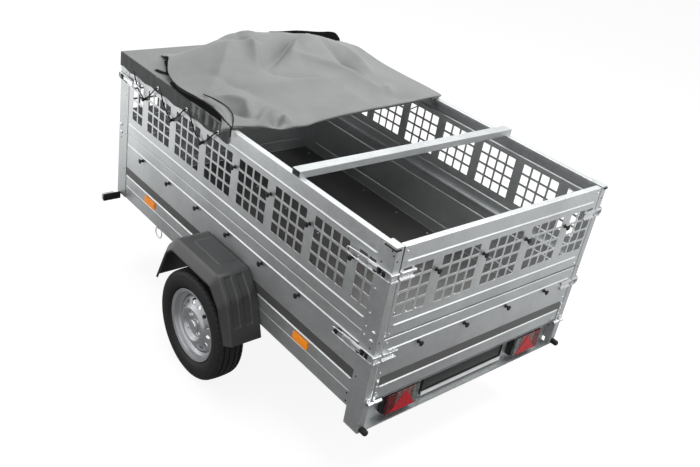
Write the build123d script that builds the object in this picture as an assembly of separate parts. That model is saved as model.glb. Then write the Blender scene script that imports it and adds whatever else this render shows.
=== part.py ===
from build123d import *
import math
import os

os.makedirs("parts", exist_ok=True)

# Single-axle box trailer with sheet-steel lower boards, mesh upper sides and a laced cover.
# Millimetres; +Y points forward along the drawbar, +X to the right, +Z up from the ground.

# Driving dimensions of the body
BODY_W = 1290.0
BODY_L = 2080.0
TOP_Z = 1220.0
FLOOR_Z = 500.0
BOARD_BOTTOM = 433.0
JOINT_Z = 809.0
LEG_BOTTOM = 352.0
SHEET = 1.5
POST_T = 2.0
DRAWBAR_REACH = 960.0
REAR_STANDOUT = 35.0

# Overall length, from the buffers to the coupling's nose, centres the part on its origin
REAR = -(BODY_L + DRAWBAR_REACH - REAR_STANDOUT) / 2
FRONT = REAR + BODY_L
NOSE = FRONT + DRAWBAR_REACH
POST_X = BODY_W / 2
SKIN_X = POST_X - POST_T

# Ridges pressed into the sheet: height of each crest above the ground
RIDGE_LOW = 505.0
RIDGE_1 = 568.0
RIDGE_2 = 749.0
RIDGE_3 = 866.0
RIDGE_4 = 1152.0
RIDGE_H = 4.0
RIDGE_W = 12.0
RIDGE_INSET = 20.0
FRONT_RIDGE_H = 1.6

# Corner posts and the gates between them
REAR_POST_L = 85.0
REAR_POST_W = 38.0
POST_RETURN = 30.0
FRONT_POST_L = 90.0
FRONT_POST_W = 40.0
BEND = 4.0
GATE_GAP = 5.5
GATE_HALF = POST_X - REAR_POST_W - GATE_GAP
FLANGE = 20.0
RAIL_W = 28.0
RAIL_LIP = 15.0
BOARD_FOOT = 25.0
GATE_BOTTOM = FLOOR_Z + GATE_GAP
GATE_TOP = JOINT_Z - 3.5
MESH_GATE_BOTTOM = GATE_TOP + 8.5
MESH_PIVOT_Z = MESH_GATE_BOTTOM + 14.0
MESH_PIVOT_IN = 10.0
EAR_T = 4.0
EAR_TOP = 14.0

# Hinges of the lower gate
HINGE_OUT = 12.0
HINGE_R = 8.0
HINGE_L = 40.0
BARREL_SIDES = 12
HINGE_INSET = 3.0
HINGE_Z = GATE_BOTTOM - 0.5
STRAP_TOP = 610.0
STRAP_W = 14.0
STRAP_T = 4.0
WEB_HALF = 5.0
HINGE_PLATE = 20.0
PIN_R = 5.0
PIN_PLAY = 0.05

# Mesh: square holes in blocks between solid pillars, which start at the rear
HOLE = 45.0
HOLE_PITCH = 56.0
BLOCK = 4
HOLE_ROWS = 4
ROW_TOP = 1100.0
HOLE_LAP = 7.0
PILLAR_PITCH = 268.0
FIRST_PILLAR = 207.0
END_ROOM = 180.0
SIDE_PILLARS = 1 + int((BODY_L - FIRST_PILLAR - END_ROOM) / PILLAR_PITCH)
END_PILLARS = int(BODY_W / PILLAR_PITCH)

# Lamp panel, recessed under the tailgate
RECESS = 45.0
LAMP_W = 190.0
LAMP_H = 110.0
LAMP_FROM_SIDE = 238.0
LAMP_X = POST_X - LAMP_FROM_SIDE
LAMP_Z = 432.0
LENS_IN = 2.0
LENS_T = 14.0
LENS_EDGE = 4.0
PLATE_TO_LAMP = 52.0
PLATE_W = 2 * (LAMP_X - LAMP_W / 2 - PLATE_TO_LAMP)
PLATE_H = 112.0
PLATE_T = 10.0
PLATE_BOTTOM = 366.0
BUFFER_R = 14.0
BUFFER_SIDES = 16
BUFFER_IN = 20.0
BUFFER_UP = 18.0

# Tyre, wheel and hub
TYRE_R = 270.0
TYRE_W = 145.0
BEAD_R = 166.0
BEAD_HALF = 47.7
RIM_R = 179.0
RIM_HALF = 56.0
RIM_T = 3.0
WELL = 22.0
WHEEL_TO_SIDE = 96.0
WHEEL_X = POST_X + WHEEL_TO_SIDE
FACE_OUT = 30.0
DISC_T = 4.0
CROWN_OUT = 44.0
CROWN_R = 82.0
CENTRE_R = 30.0
RIM_HOLES = 14
TYRE_SIDES = 4 * RIM_HOLES
RIM_SIDES = 2 * RIM_HOLES
BEAD_PLAY = 0.3
RIM_HOLE_W = 18.0
RIM_HOLE_H = 24.0
BOLT_CIRCLE = 100.0
NUT_R = 10.0
NUT_H = 14.0
HUB_SIDES = 16
HUB_R = 38.0
HUB_L = 76.0
HUB_FLANGE_R = 62.0
HUB_FLANGE_T = 10.0
HUB_CAP_R = 27.0
HUB_CAP_OUT = 26.0
STUB_R = 14.0
STUB_IN_HUB = 8.0

# Torsion axle and frame
AXLE_BEHIND_MIDDLE = 25.0
BEAM = 50.0
BEAM_AHEAD = 140.0
BEAM_SHORT = 60.0
ARM_T = 24.0
ARM_H = 60.0
ARM_CORNER = 18.0
ARM_BOSS_R = 26.0
ARM_BOSS_L = 50.0
BRACKET_IN = 95.0
BRACKET_L = 120.0
BRACKET_W = 60.0
BRACKET_T = 6.0
BRACKET_FOOT = 4.0
DRAWBAR = 60.0
DRAWBAR_WALL = 3.0
DRAWBAR_REAR = 60.0
DRAWBAR_SHORT = 190.0
PAD_HALF = 40.0
FLOOR_T = 9.0
MEMBER_W = 40.0
MEMBER_T = 3.0
MEMBER_REAR = 90.0
MEMBER_FRONT = 60.0

# Mudguards
GUARD_OUT = POST_X + 160.0
GUARD_LIP = POST_X + 185.0
GUARD_T = 4.0
GUARD_GAP = 0.3
GUARD_FLANGE = 30.0
GUARD_TAB = 60.0
GUARD_TAB_DROP = 10.0
GUARD_TAB_H = 40.0
GROOVE_W = 38.0
GROOVE_DEPTH = 2.0
GROOVE_EDGE = 22.0
GROOVE_PITCH = 61.0
BOSS_T = 2.5
BOSS_REAR = 0.42
BOSS_FRONT = 0.37
BOSS_W = 92.0
BOSS_EDGE = 52.0
BOSS_CORNER = 10.0

# Coupling
HEAD_HALF = 36.0
HEAD_L = 180.0
HEAD_FROM_NOSE = 260.0
SOCKET_FROM_NOSE = 42.0
SOCKET_R = 42.0
SOCKET_TOP = 32.0
SOCKET_BOTTOM = 30.0
NECK_HALF = 30.0
BALL_R = 25.05
BALL_DEPTH = 26.0
HANDLE_HALF = 16.0
HANDLE_L = 140.0
HANDLE_T = 8.0
HANDLE_UP = 46.0

# Jockey wheel
JOCKEY_FROM_NOSE = 400.0
JOCKEY_BESIDE = 32.0
JOCKEY_X = -DRAWBAR / 2 - JOCKEY_BESIDE
JOCKEY_OUTER_R = 24.0
JOCKEY_INNER_R = 20.0
JOCKEY_PLAY = 0.05
JOCKEY_WHEEL_R = 100.0
JOCKEY_WHEEL_W = 50.0
JOCKEY_SPINDLE_R = 8.0
JOCKEY_TRAIL = 45.0
JOCKEY_TOP = 640.0
JOCKEY_LOW = 360.0
JOCKEY_LAP = 120.0
CROWN_UP = 12.0
FORK_T = 4.0
FORK_GAP = 5.0
SWIVEL_R = 12.0
SWIVEL_H = 16.0
COLLAR_OUT = 6.0
COLLAR_T = 10.0
CLAMP_L = 45.0
CLAMP_H = 28.0
CLAMP_T = 6.0
CRANK_R = 8.0
CRANK_L = 90.0
CRANK_T = 8.0
CRANK_UP = 20.0
GRIP_L = 50.0

# Knobs, cover and lacing
KNOB_OUT = 21.0
KNOB_HEAD = 6.0
KNOB_R = 12.0
NECK_R = 6.0
KNOB_HIGH = 1070.0
KNOB_LOW = 731.0
COVER_T = 4.0
COVER_L = 1005.0
COVER_GAP = 0.3
SKIRT_H = 90.0
FOLD_LEFT_IN = 85.0
FOLD_RIGHT_IN = 25.0
EYELET_UP = 22.0
CORD_R = 2.5
CORD_SPREAD = 0.32

# Side fittings
BAR_FROM_REAR = 600.0
BAR_W = 50.0
BAR_H = 30.0
BAR_WALL = 2.0
REFLECTOR_FROM_REAR = 418.0
REFLECTOR_FROM_FRONT = 360.0
REFLECTOR_L = 100.0
REFLECTOR_H = 40.0
REFLECTOR_Z = 537.0
REFLECTOR_T = 8.0
MARKER_W = 100.0
MARKER_H = 40.0
MARKER_Z = 424.0
MARKER_BACK = 42.0
MARKER_T = 12.0
MARKER_LENS_T = 18.0
MARKER_LENS_W = 68.0
RING_FROM_FRONT = 441.0
RING_R = 30.0
RING_WIRE = 4.6
RING_SIDES = 20
RING_DROP = 34.0
RING_IN = 12.0
RING_TAB = 16.0
CAP_L = 62.0
CAP_T = 3.0
CAP_DROP = 12.0

# Latches: height of each row and the gate that it closes
LATCH_ROWS = ((727.0, "tailgate"), (1098.0, "mesh_tailgate"))
LATCH_BASE = 14.0
CATCH_W = 75.0
CATCH_T = 3.0

AXLE_Y = (REAR + FRONT) / 2 - AXLE_BEHIND_MIDDLE
AXLE_Z = TYRE_R
BEAM_Y = AXLE_Y + BEAM_AHEAD
FLOOR_BOTTOM = FLOOR_Z - FLOOR_T
CROSS_BOTTOM = BOARD_BOTTOM + SHEET
DRAWBAR_Z = BOARD_BOTTOM - DRAWBAR / 2
BEAM_Z = BOARD_BOTTOM - DRAWBAR - BEAM / 2
JOCKEY_Y = NOSE - JOCKEY_FROM_NOSE
CROSS_Y = (REAR + MEMBER_REAR, BEAM_Y, FRONT - MEMBER_FRONT)
ROWS = [ROW_TOP - HOLE_PITCH * n for n in range(HOLE_ROWS)]
SIDE_KNOBS = [REAR + FIRST_PILLAR + PILLAR_PITCH * n for n in range(SIDE_PILLARS)]
END_KNOBS = [PILLAR_PITCH * (n - (END_PILLARS - 1) / 2) for n in range(END_PILLARS)]

nodes = {}


def box(x0, x1, y0, y1, z0, z1):
    """Block between two corners given axis by axis."""
    size = (x1 - x0, y1 - y0, z1 - z0)
    middle = ((x0 + x1) / 2, (y0 + y1) / 2, (z0 + z1) / 2)
    return Pos(*middle) * Box(*size)


def rod_x(radius, x0, x1, y, z):
    """Round bar along X."""
    return Pos((x0 + x1) / 2, y, z) * Rot(0, 90, 0) * Cylinder(radius, x1 - x0)


def rod_z(radius, z0, z1, x, y):
    """Round bar along Z."""
    return Pos(x, y, (z0 + z1) / 2) * Cylinder(radius, z1 - z0)


def cut_corners(wide, high, corner):
    """Rectangle with its corners cut off straight."""
    x = wide / 2
    y = high / 2
    quarter = ((x, y - corner), (x - corner, y))
    points = list(quarter) + [(-a, b) for a, b in reversed(quarter)]
    points += [(-a, -b) for a, b in points]
    return make_face(Polyline(*points, close=True))


def prism(radius, sides, start, along):
    """Bar with a regular polygon as its section, from a start point along a vector."""
    section = Plane(start, z_dir=along) * RegularPolygon(radius, sides)
    return extrude(section, amount=Vector(*along).length)


def turned(outline, sides, centre):
    """Flat-sided ring about X: a closed outline of (along X, radius) points carried round it."""
    x0, y0, z0 = centre
    rings = []
    for n in range(sides):
        turn = 2 * math.pi * n / sides
        rings.append([(x0 + a, y0 + r * math.cos(turn), z0 + r * math.sin(turn)) for a, r in outline])
    faces = []
    for ring, following in zip(rings, rings[1:] + rings[:1]):
        for corners in zip(ring, ring[1:] + ring[:1], following[1:] + following[:1], following):
            faces.append(make_face(Polyline(*corners, close=True)))
    return Solid(Shell(faces))


def mirrored(part):
    """The same piece on the other side of the trailer."""
    return mirror(part, about=Plane.YZ)


def eased(points, radius):
    """Line of a folded sheet with each bend taken in three short steps inside its corner."""
    line = [points[0]]
    for before, corner, after in zip(points, points[1:], points[2:]):
        into = (before[0] - corner[0], before[1] - corner[1])
        out = (after[0] - corner[0], after[1] - corner[1])
        into_size = math.hypot(*into)
        out_size = math.hypot(*out)
        for near, far in ((1.0, 0.0), (0.29, 0.29), (0.0, 1.0)):
            a = radius * near / into_size
            b = radius * far / out_size
            line.append((corner[0] + into[0] * a + out[0] * b, corner[1] + into[1] * a + out[1] * b))
    line.append(points[-1])
    return line


def sheet_outline(points, thickness):
    """Closed outline of a folded sheet: a line, then that line moved to its left by the thickness."""
    steps = [(b[0] - a[0], b[1] - a[1]) for a, b in zip(points, points[1:])]
    units = [(dx / math.hypot(dx, dy), dy / math.hypot(dx, dy)) for dx, dy in steps]
    normals = [(-uy, ux) for ux, uy in units]
    inner = []
    for i, (px, py) in enumerate(points):
        before = normals[max(i - 1, 0)]
        after = normals[min(i, len(normals) - 1)]
        share = 1 + before[0] * after[0] + before[1] * after[1]
        nx = (before[0] + after[0]) / share
        ny = (before[1] + after[1]) / share
        inner.append((px + nx * thickness, py + ny * thickness))
    return [*points, *reversed(inner)]


def band(points, thickness):
    """Face of a folded sheet, from its outer line."""
    return make_face(Polyline(*sheet_outline(points, thickness), close=True))


def along_y(face, y0, y1):
    """Section drawn as (x, z) carried from y0 to y1."""
    return extrude(Plane((0, y0, 0), x_dir=(1, 0, 0), z_dir=(0, -1, 0)) * face, amount=y0 - y1)


def along_x(face, x0, x1):
    """Section drawn as (y, z) carried from x0 to x1."""
    return extrude(Plane((x0, 0, 0), x_dir=(0, 1, 0), z_dir=(1, 0, 0)) * face, amount=x1 - x0)


def crest(foot, out, z):
    """Section of a pressed ridge with a rounded crest, standing out from its foot."""
    # height as a share of the ridge's, place across it as a share of its half width
    shape = ((0.0, -1.0), (0.5, -0.5), (1.0, -0.15), (1.0, 0.15), (0.5, 0.5), (0.0, 1.0))
    points = [(foot + out * share, z + RIDGE_W / 2 * across) for share, across in shape]
    return make_face(Polyline(*points, close=True))


def side_ridge(z):
    """Ridge along the left side, between the corner posts."""
    return along_y(crest(-SKIN_X, -RIDGE_H, z), REAR + REAR_POST_L, FRONT - FRONT_POST_L)


def columns_in(room):
    """Number of hole columns between a pillar and the post that lies room away from it."""
    first = (PILLAR_PITCH - (BLOCK - 1) * HOLE_PITCH) / 2
    return 1 + int((room - first - HOLE / 2 + HOLE_LAP) / HOLE_PITCH)


def hole_offsets(pillars, before, after):
    """Places of the hole columns along a panel, from its first pillar at 0."""
    first = (PILLAR_PITCH - (BLOCK - 1) * HOLE_PITCH) / 2
    columns = []
    for block in range(pillars - 1):
        columns += [block * PILLAR_PITCH + first + HOLE_PITCH * n for n in range(BLOCK)]
    columns += [-first - HOLE_PITCH * n for n in range(before)]
    columns += [(pillars - 1) * PILLAR_PITCH + first + HOLE_PITCH * n for n in range(after)]
    return columns


def side_mesh_holes():
    """Square cutters through the left mesh panel."""
    before = columns_in(FIRST_PILLAR - REAR_POST_L)
    after = columns_in(FRONT - FRONT_POST_L - SIDE_KNOBS[-1])
    columns = hole_offsets(SIDE_PILLARS, before, after)
    places = [(SIDE_KNOBS[0] + c, z) for c in columns for z in ROWS]
    return [Pos(-SKIN_X, y, z) * Box(4 * POST_T, HOLE, HOLE) for y, z in places]


def end_mesh_holes(y):
    """Square cutters through a mesh panel across the trailer at y."""
    beside = columns_in(POST_X - FRONT_POST_W - END_KNOBS[-1])
    places = [(END_KNOBS[0] + c, z) for c in hole_offsets(END_PILLARS, beside, beside) for z in ROWS]
    return [Pos(x, y, z) * Box(HOLE, 4 * POST_T, HOLE) for x, z in places]


def side_boards():
    """Lower steel side board, flanged inwards at its top and bottom."""
    line = [
        (-SKIN_X + FLANGE, JOINT_Z),
        (-SKIN_X, JOINT_Z),
        (-SKIN_X, BOARD_BOTTOM),
        (-SKIN_X + BOARD_FOOT, BOARD_BOTTOM),
    ]
    board = along_y(band(eased(line, BEND), SHEET), REAR + POST_T + BEND, FRONT - POST_T - SHEET)
    for z in (RIDGE_LOW, RIDGE_1, RIDGE_2):
        board += side_ridge(z)
    nodes["side_board_left"] = board
    nodes["side_board_right"] = mirrored(board)


def mesh_sides():
    """Upper mesh side with its rolled top rail."""
    line = [
        (-SKIN_X + RAIL_W, TOP_Z - RAIL_LIP),
        (-SKIN_X + RAIL_W, TOP_Z),
        (-SKIN_X, TOP_Z),
        (-SKIN_X, JOINT_Z),
        (-SKIN_X + FLANGE, JOINT_Z),
    ]
    panel = along_y(band(eased(line, BEND), SHEET), REAR + POST_T + BEND, FRONT - POST_T - SHEET)
    for z in (RIDGE_3, RIDGE_4):
        panel += side_ridge(z)
    panel -= side_mesh_holes()
    nodes["mesh_side_left"] = panel
    nodes["mesh_side_right"] = mirrored(panel)


def front_panels():
    """Front board and mesh front, between the two sides."""
    half = SKIN_X - SHEET
    skin = FRONT - POST_T
    line = [(skin - FLANGE, BOARD_BOTTOM), (skin, BOARD_BOTTOM), (skin, JOINT_Z), (skin - FLANGE, JOINT_Z)]
    inner = half - BOARD_FOOT
    board = along_x(band(line, SHEET), -inner, inner)
    board += box(-SKIN_X, SKIN_X, skin - SHEET, skin, BOARD_BOTTOM, JOINT_Z)
    reach = SKIN_X - FRONT_POST_W
    for z in (RIDGE_LOW, RIDGE_1, RIDGE_2):
        board += along_x(crest(skin, FRONT_RIDGE_H, z), -reach, reach)
    nodes["front_board"] = board
    line = [
        (skin - FLANGE, JOINT_Z),
        (skin, JOINT_Z),
        (skin, TOP_Z),
        (skin - RAIL_W, TOP_Z),
        (skin - RAIL_W, TOP_Z - RAIL_LIP),
    ]
    inner = half - RAIL_W
    panel = along_x(band(line, SHEET), -inner, inner)
    panel += box(-SKIN_X, SKIN_X, skin - SHEET, skin, JOINT_Z, TOP_Z)
    panel -= end_mesh_holes(skin)
    nodes["mesh_front"] = panel


def posts():
    """Corner posts bent from plate: the rear pair runs down to carry the lamp panel."""
    line = [
        (-POST_X, REAR + REAR_POST_L),
        (-POST_X, REAR),
        (-POST_X + REAR_POST_W, REAR),
        (-POST_X + REAR_POST_W, REAR + POST_RETURN),
    ]
    rear = extrude(Pos(0, 0, LEG_BOTTOM) * band(eased(line, BEND), POST_T), amount=TOP_Z - LEG_BOTTOM)
    line = [(-POST_X + FRONT_POST_W, FRONT), (-POST_X, FRONT), (-POST_X, FRONT - FRONT_POST_L)]
    front = extrude(Pos(0, 0, BOARD_BOTTOM) * band(line, POST_T), amount=TOP_Z - BOARD_BOTTOM)
    nodes["corner_posts"] = Compound([rear, mirrored(rear), front, mirrored(front)])


def floor_and_frame():
    """Plywood floor on channel cross members, with the drawbar tube under them."""
    half = SKIN_X - SHEET
    back = REAR + RECESS + SHEET
    nodes["floor_panel"] = box(-half, half, back, FRONT - POST_T - SHEET, FLOOR_BOTTOM, FLOOR_Z)
    members = []
    for y in CROSS_Y:
        line = [
            (y + MEMBER_W / 2, FLOOR_BOTTOM),
            (y - MEMBER_W / 2, FLOOR_BOTTOM),
            (y - MEMBER_W / 2, CROSS_BOTTOM),
            (y + MEMBER_W / 2, CROSS_BOTTOM),
        ]
        members.append(along_x(band(line, MEMBER_T), -half + BEND, half - BEND))
    nodes["cross_members"] = Compound(members)
    outer_half = DRAWBAR / 2
    low = DRAWBAR_Z - outer_half
    end = NOSE - DRAWBAR_SHORT
    outer = box(-outer_half, outer_half, REAR + DRAWBAR_REAR, end, low, low + DRAWBAR)
    inner_half = outer_half - DRAWBAR_WALL
    bore = box(-inner_half, inner_half, REAR, NOSE, DRAWBAR_Z - inner_half, DRAWBAR_Z + inner_half)
    reach = MEMBER_W / 2
    pads = [box(-PAD_HALF, PAD_HALF, y - reach, y + reach, BOARD_BOTTOM, CROSS_BOTTOM) for y in CROSS_Y]
    nodes["drawbar"] = outer - bore + pads


def axle():
    """Torsion axle: square beam, its mounting brackets, trailing arms and stub shafts."""
    end = POST_X - BEAM_SHORT
    beam = box(-end, end, BEAM_Y - BEAM / 2, BEAM_Y + BEAM / 2, BEAM_Z - BEAM / 2, BEAM_Z + BEAM / 2)
    seat = BEAM_Z + BEAM / 2
    x = -POST_X + BRACKET_IN
    rear = BEAM_Y - BRACKET_L / 2
    front = BEAM_Y + BRACKET_L / 2
    wide = BRACKET_W / 2
    bracket = box(x - BRACKET_T / 2, x + BRACKET_T / 2, rear, front, seat, CROSS_BOTTOM)
    bracket += box(x - wide, x + wide, rear, front, CROSS_BOTTOM - BRACKET_FOOT, CROSS_BOTTOM)
    bracket += box(x - wide, x + wide, rear, front, seat, seat + BRACKET_FOOT)
    nodes["axle_beam"] = beam + [bracket, mirrored(bracket)]
    drop = BEAM_Z - AXLE_Z
    length = math.hypot(BEAM_AHEAD, drop)
    tilt = math.degrees(math.atan2(drop, BEAM_AHEAD))
    plate = cut_corners(length + ARM_H, ARM_H, ARM_CORNER)
    place = Plane((-end, (AXLE_Y + BEAM_Y) / 2, (AXLE_Z + BEAM_Z) / 2), x_dir=(0, 1, 0), z_dir=(-1, 0, 0))
    arm = extrude(place * Rot(0, 0, -tilt) * plate, amount=ARM_T)
    outer = -end - ARM_T
    stub_end = -WHEEL_X - FACE_OUT - STUB_IN_HUB
    arm += prism(ARM_BOSS_R, HUB_SIDES, (outer, AXLE_Y, AXLE_Z), (-ARM_BOSS_L, 0, 0))
    arm += rod_x(STUB_R, stub_end, outer, AXLE_Y, AXLE_Z)
    nodes["axle_arms"] = Compound([arm, mirrored(arm)])


def wheel():
    """Tyre, pressed steel wheel and hub of the left side, about the axle line."""
    centre = (-WHEEL_X, AXLE_Y, AXLE_Z)
    half = TYRE_W / 2
    # distance from the wheel's middle plane and radius: bead, sidewall, shoulder, tread
    side = (
        (BEAD_HALF, BEAD_R),
        (BEAD_HALF, RIM_R + 6),
        (half, (RIM_R + TYRE_R) / 2 - 2),
        (half - 5, TYRE_R - 18),
        (half - 17, TYRE_R - 3),
    )
    outline = [(-w, r) for w, r in side] + [(0, TYRE_R)] + list(reversed(side))
    nodes["tyre_left"] = turned(outline, TYRE_SIDES, centre)
    seat = BEAD_R - BEAD_PLAY
    well = BEAD_R - WELL
    barrel = [
        (RIM_HALF, RIM_R),
        (RIM_HALF - 8, seat),
        (8, well),
        (-16, well),
        (-RIM_HALF + 8, seat),
        (-RIM_HALF, RIM_R),
    ]
    rim = turned(sheet_outline(barrel, RIM_T), RIM_SIDES, centre)
    flat = -FACE_OUT - DISC_T
    root = well - 0.5
    slope = root - 20
    dish = [
        (flat, CENTRE_R),
        (flat, 60),
        (-CROWN_OUT, CROWN_R - 6),
        (-CROWN_OUT, CROWN_R + 6),
        (-18, slope),
        (-4, root),
    ]
    disc = turned(sheet_outline(dish, -DISC_T), RIM_SIDES, centre)
    slot_r = (CROWN_R + 6 + slope) / 2
    wide = RIM_HOLE_W / 2
    high = RIM_HOLE_H / 2
    corners = ((1, 0), (0.7, 0.7), (0, 1), (-0.7, 0.7), (-1, 0), (-0.7, -0.7), (0, -1), (0.7, -0.7))
    oval = make_face(Polyline(*[(high * u, wide * v) for u, v in corners], close=True))
    for n in range(RIM_HOLES):
        turn = 360 * n / RIM_HOLES
        across = Pos(*centre) * Rot(turn, 0, 0) * Plane((0, slot_r, 0), (0, 1, 0), (1, 0, 0))
        disc -= extrude(across * oval, amount=RIM_HALF, both=True)
    face = -WHEEL_X - FACE_OUT
    foot = (face, AXLE_Y, AXLE_Z)
    hub = prism(HUB_FLANGE_R, RIM_SIDES, foot, (HUB_FLANGE_T, 0, 0))
    hub += prism(HUB_R, HUB_SIDES, foot, (HUB_L, 0, 0))
    hub += prism(HUB_CAP_R, HUB_SIDES, foot, (-HUB_CAP_OUT, 0, 0))
    hub -= rod_x(STUB_R + PIN_PLAY, face - STUB_IN_HUB - 4, face + HUB_L + 4, AXLE_Y, AXLE_Z)
    nut_end = face - DISC_T - NUT_H
    for n in range(4):
        turn = math.radians(45 + 90 * n)
        y = AXLE_Y + BOLT_CIRCLE / 2 * math.cos(turn)
        z = AXLE_Z + BOLT_CIRCLE / 2 * math.sin(turn)
        nut = prism(NUT_R, 6, (nut_end, y, z), (DISC_T + NUT_H, 0, 0))
        hub += nut
        disc -= nut
    nodes["rim_left"] = rim + disc
    nodes["hub_left"] = hub
    for name in ("tyre", "rim", "hub"):
        nodes[name + "_right"] = mirrored(nodes[name + "_left"])


def mudguards():
    """Moulded guard: flat top, angled ends, and an outer rim that slopes to a lip."""
    # forward and up from the axle, in tyre radii, from the rear end over the top to the front
    crown_y = (-1.270, -1.007, -0.704, 0.604, 0.859, 1.122)
    crown_z = (0.407, 1.130, 1.452, 1.452, 1.178, 0.426)
    lip_y = (-1.181, -0.919, -0.622, 0.611, 0.796, 1.059)
    lip_z = (0.407, 0.963, 1.248, 1.248, 1.085, 0.430)
    crown = [(AXLE_Y + y * TYRE_R, AXLE_Z + z * TYRE_R) for y, z in zip(crown_y, crown_z)]
    lip = [(AXLE_Y + y * TYRE_R, AXLE_Z + z * TYRE_R) for y, z in zip(lip_y, lip_z)]
    top = crown[2][1]
    inside = SKIN_X + RIDGE_H + GUARD_GAP
    shell = along_x(band(crown, -GUARD_T), -GUARD_OUT, -inside)
    near = Plane((-GUARD_OUT, 0, 0), x_dir=(0, 1, 0), z_dir=(1, 0, 0)) * band(crown, -GUARD_T)
    far = Plane((-GUARD_LIP, 0, 0), x_dir=(0, 1, 0), z_dir=(1, 0, 0)) * band(lip, -GUARD_T)
    shell += loft([far, near], ruled=True)
    shell += along_x(band(crown, -GUARD_FLANGE), -inside - GUARD_T, -inside)
    for y in (crown[2][0] + GUARD_TAB, crown[3][0] - GUARD_TAB):
        tab_top = top - GUARD_TAB_DROP
        rear = y - GUARD_TAB / 2
        shell += box(-inside - GUARD_T, -SKIN_X, rear, rear + GUARD_TAB, tab_top - GUARD_TAB_H, tab_top)
    # grooves run from the upper slope, over its lower edge, down the rear end
    start = [a + (b - a) * 0.12 for a, b in zip(crown[2], crown[1])]
    end = [a + (b - a) * 0.62 for a, b in zip(crown[1], crown[0])]
    line = [tuple(end), crown[1], tuple(start)]
    for n in range(2):
        x = -GUARD_OUT + GROOVE_EDGE + GROOVE_PITCH * n
        shell -= along_x(band(line, -GROOVE_DEPTH), x, x + GROOVE_W)
    length = (BOSS_REAR + BOSS_FRONT) * TYRE_R
    middle_y = AXLE_Y + (BOSS_FRONT - BOSS_REAR) * TYRE_R / 2
    middle_x = -GUARD_OUT + BOSS_EDGE + BOSS_W / 2
    boss = Pos(middle_x, middle_y, top) * cut_corners(BOSS_W, length, BOSS_CORNER)
    shell += extrude(boss, amount=BOSS_T)
    nodes["mudguard_left"] = shell
    nodes["mudguard_right"] = mirrored(shell)


def tailgate():
    """Lower tailgate, hinged along its bottom edge outside the sill."""
    line = [
        (REAR + FLANGE, GATE_TOP),
        (REAR, GATE_TOP),
        (REAR, GATE_BOTTOM),
        (REAR + FLANGE, GATE_BOTTOM),
    ]
    gate = along_x(band(eased(line, BEND), SHEET), -GATE_HALF, GATE_HALF)
    reach = GATE_HALF - RIDGE_INSET
    for z in (RIDGE_1, RIDGE_2):
        gate += along_x(crest(REAR, -RIDGE_H, z), -reach, reach)
    nodes["tailgate_board"] = gate
    y = REAR - HINGE_OUT
    skin = REAR - STRAP_T + 1
    edge = -GATE_HALF
    near = edge + HINGE_INSET
    low = HINGE_Z - WEB_HALF
    high = HINGE_Z + WEB_HALF
    leaf = prism(HINGE_R, BARREL_SIDES, (near, y, HINGE_Z), (HINGE_L, 0, 0))
    leaf += box(near, near + STRAP_W, REAR - STRAP_T, REAR, HINGE_Z, STRAP_TOP)
    leaf += box(near, near + STRAP_W, y, skin, low, high)
    leaf -= rod_x(PIN_R + PIN_PLAY, edge, near + HINGE_L + 7, y, HINGE_Z)
    nodes["tailgate_hinges"] = Compound([leaf, mirrored(leaf)])
    outer = -POST_X + STRAP_W
    inner = edge - GATE_GAP - 1.5
    fixed = prism(HINGE_R, BARREL_SIDES, (outer, y, HINGE_Z), (edge - HINGE_INSET - outer, 0, 0))
    fixed += box(outer, inner, REAR - STRAP_T, REAR, HINGE_Z - HINGE_PLATE, HINGE_Z + HINGE_PLATE)
    fixed += box(outer, inner, y, skin, low, high)
    fixed += rod_x(PIN_R, edge - HINGE_INSET - 1, near + HINGE_L - 1, y, HINGE_Z)
    pin = rod_x(PIN_R, -POST_X + REAR_POST_W, edge + 2 * EAR_T, REAR + MESH_PIVOT_IN, MESH_PIVOT_Z)
    nodes["gate_pivots"] = Compound([fixed, mirrored(fixed), pin, mirrored(pin)])


def mesh_tailgate():
    """Mesh tailgate above it, turning on two pins low in the rear posts."""
    line = [
        (REAR + RAIL_W, TOP_Z - RAIL_LIP),
        (REAR + RAIL_W, TOP_Z),
        (REAR, TOP_Z),
        (REAR, MESH_GATE_BOTTOM),
        (REAR + FLANGE, MESH_GATE_BOTTOM),
    ]
    gate = along_x(band(eased(line, BEND), SHEET), -GATE_HALF, GATE_HALF)
    reach = GATE_HALF - RIDGE_INSET
    for z in (RIDGE_3, RIDGE_4):
        gate += along_x(crest(REAR, -RIDGE_H, z), -reach, reach)
    gate -= end_mesh_holes(REAR)
    low = MESH_GATE_BOTTOM + SHEET
    edge = -GATE_HALF
    ear = box(edge, edge + EAR_T, REAR + SHEET, REAR + FLANGE, low, MESH_PIVOT_Z + EAR_TOP)
    ear -= rod_x(PIN_R + PIN_PLAY, edge - EAR_T, edge + 2 * EAR_T, REAR + MESH_PIVOT_IN, MESH_PIVOT_Z)
    nodes["mesh_tailgate_panel"] = gate + [ear, mirrored(ear)]


def knob():
    """Rubber hook knob standing on +Z: a neck and a flared head."""
    neck = KNOB_OUT - KNOB_HEAD
    return prism(NECK_R, 4, (0, 0, 0), (0, 0, neck)) + prism(KNOB_R, 6, (0, 0, neck), (0, 0, KNOB_HEAD))


def knobs():
    """Rows of knobs on the pillars and on the lower boards, for the cover's lacing."""
    shape = knob()
    left = [Pos(-SKIN_X, y, z) * Rot(0, -90, 0) * shape for y in SIDE_KNOBS for z in (KNOB_HIGH, KNOB_LOW)]
    right = [mirrored(k) for k in left]
    skin = FRONT - POST_T
    front = [Pos(x, skin, z) * Rot(-90, 0, 0) * shape for x in END_KNOBS for z in (KNOB_HIGH, KNOB_LOW)]
    nodes["body_knobs"] = Compound(left + right + front)
    for name, z in (("tailgate_knobs", KNOB_LOW), ("mesh_tailgate_knobs", KNOB_HIGH)):
        nodes[name] = Compound([Pos(x, REAR, z) * Rot(90, 0, 0) * shape for x in END_KNOBS])


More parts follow.
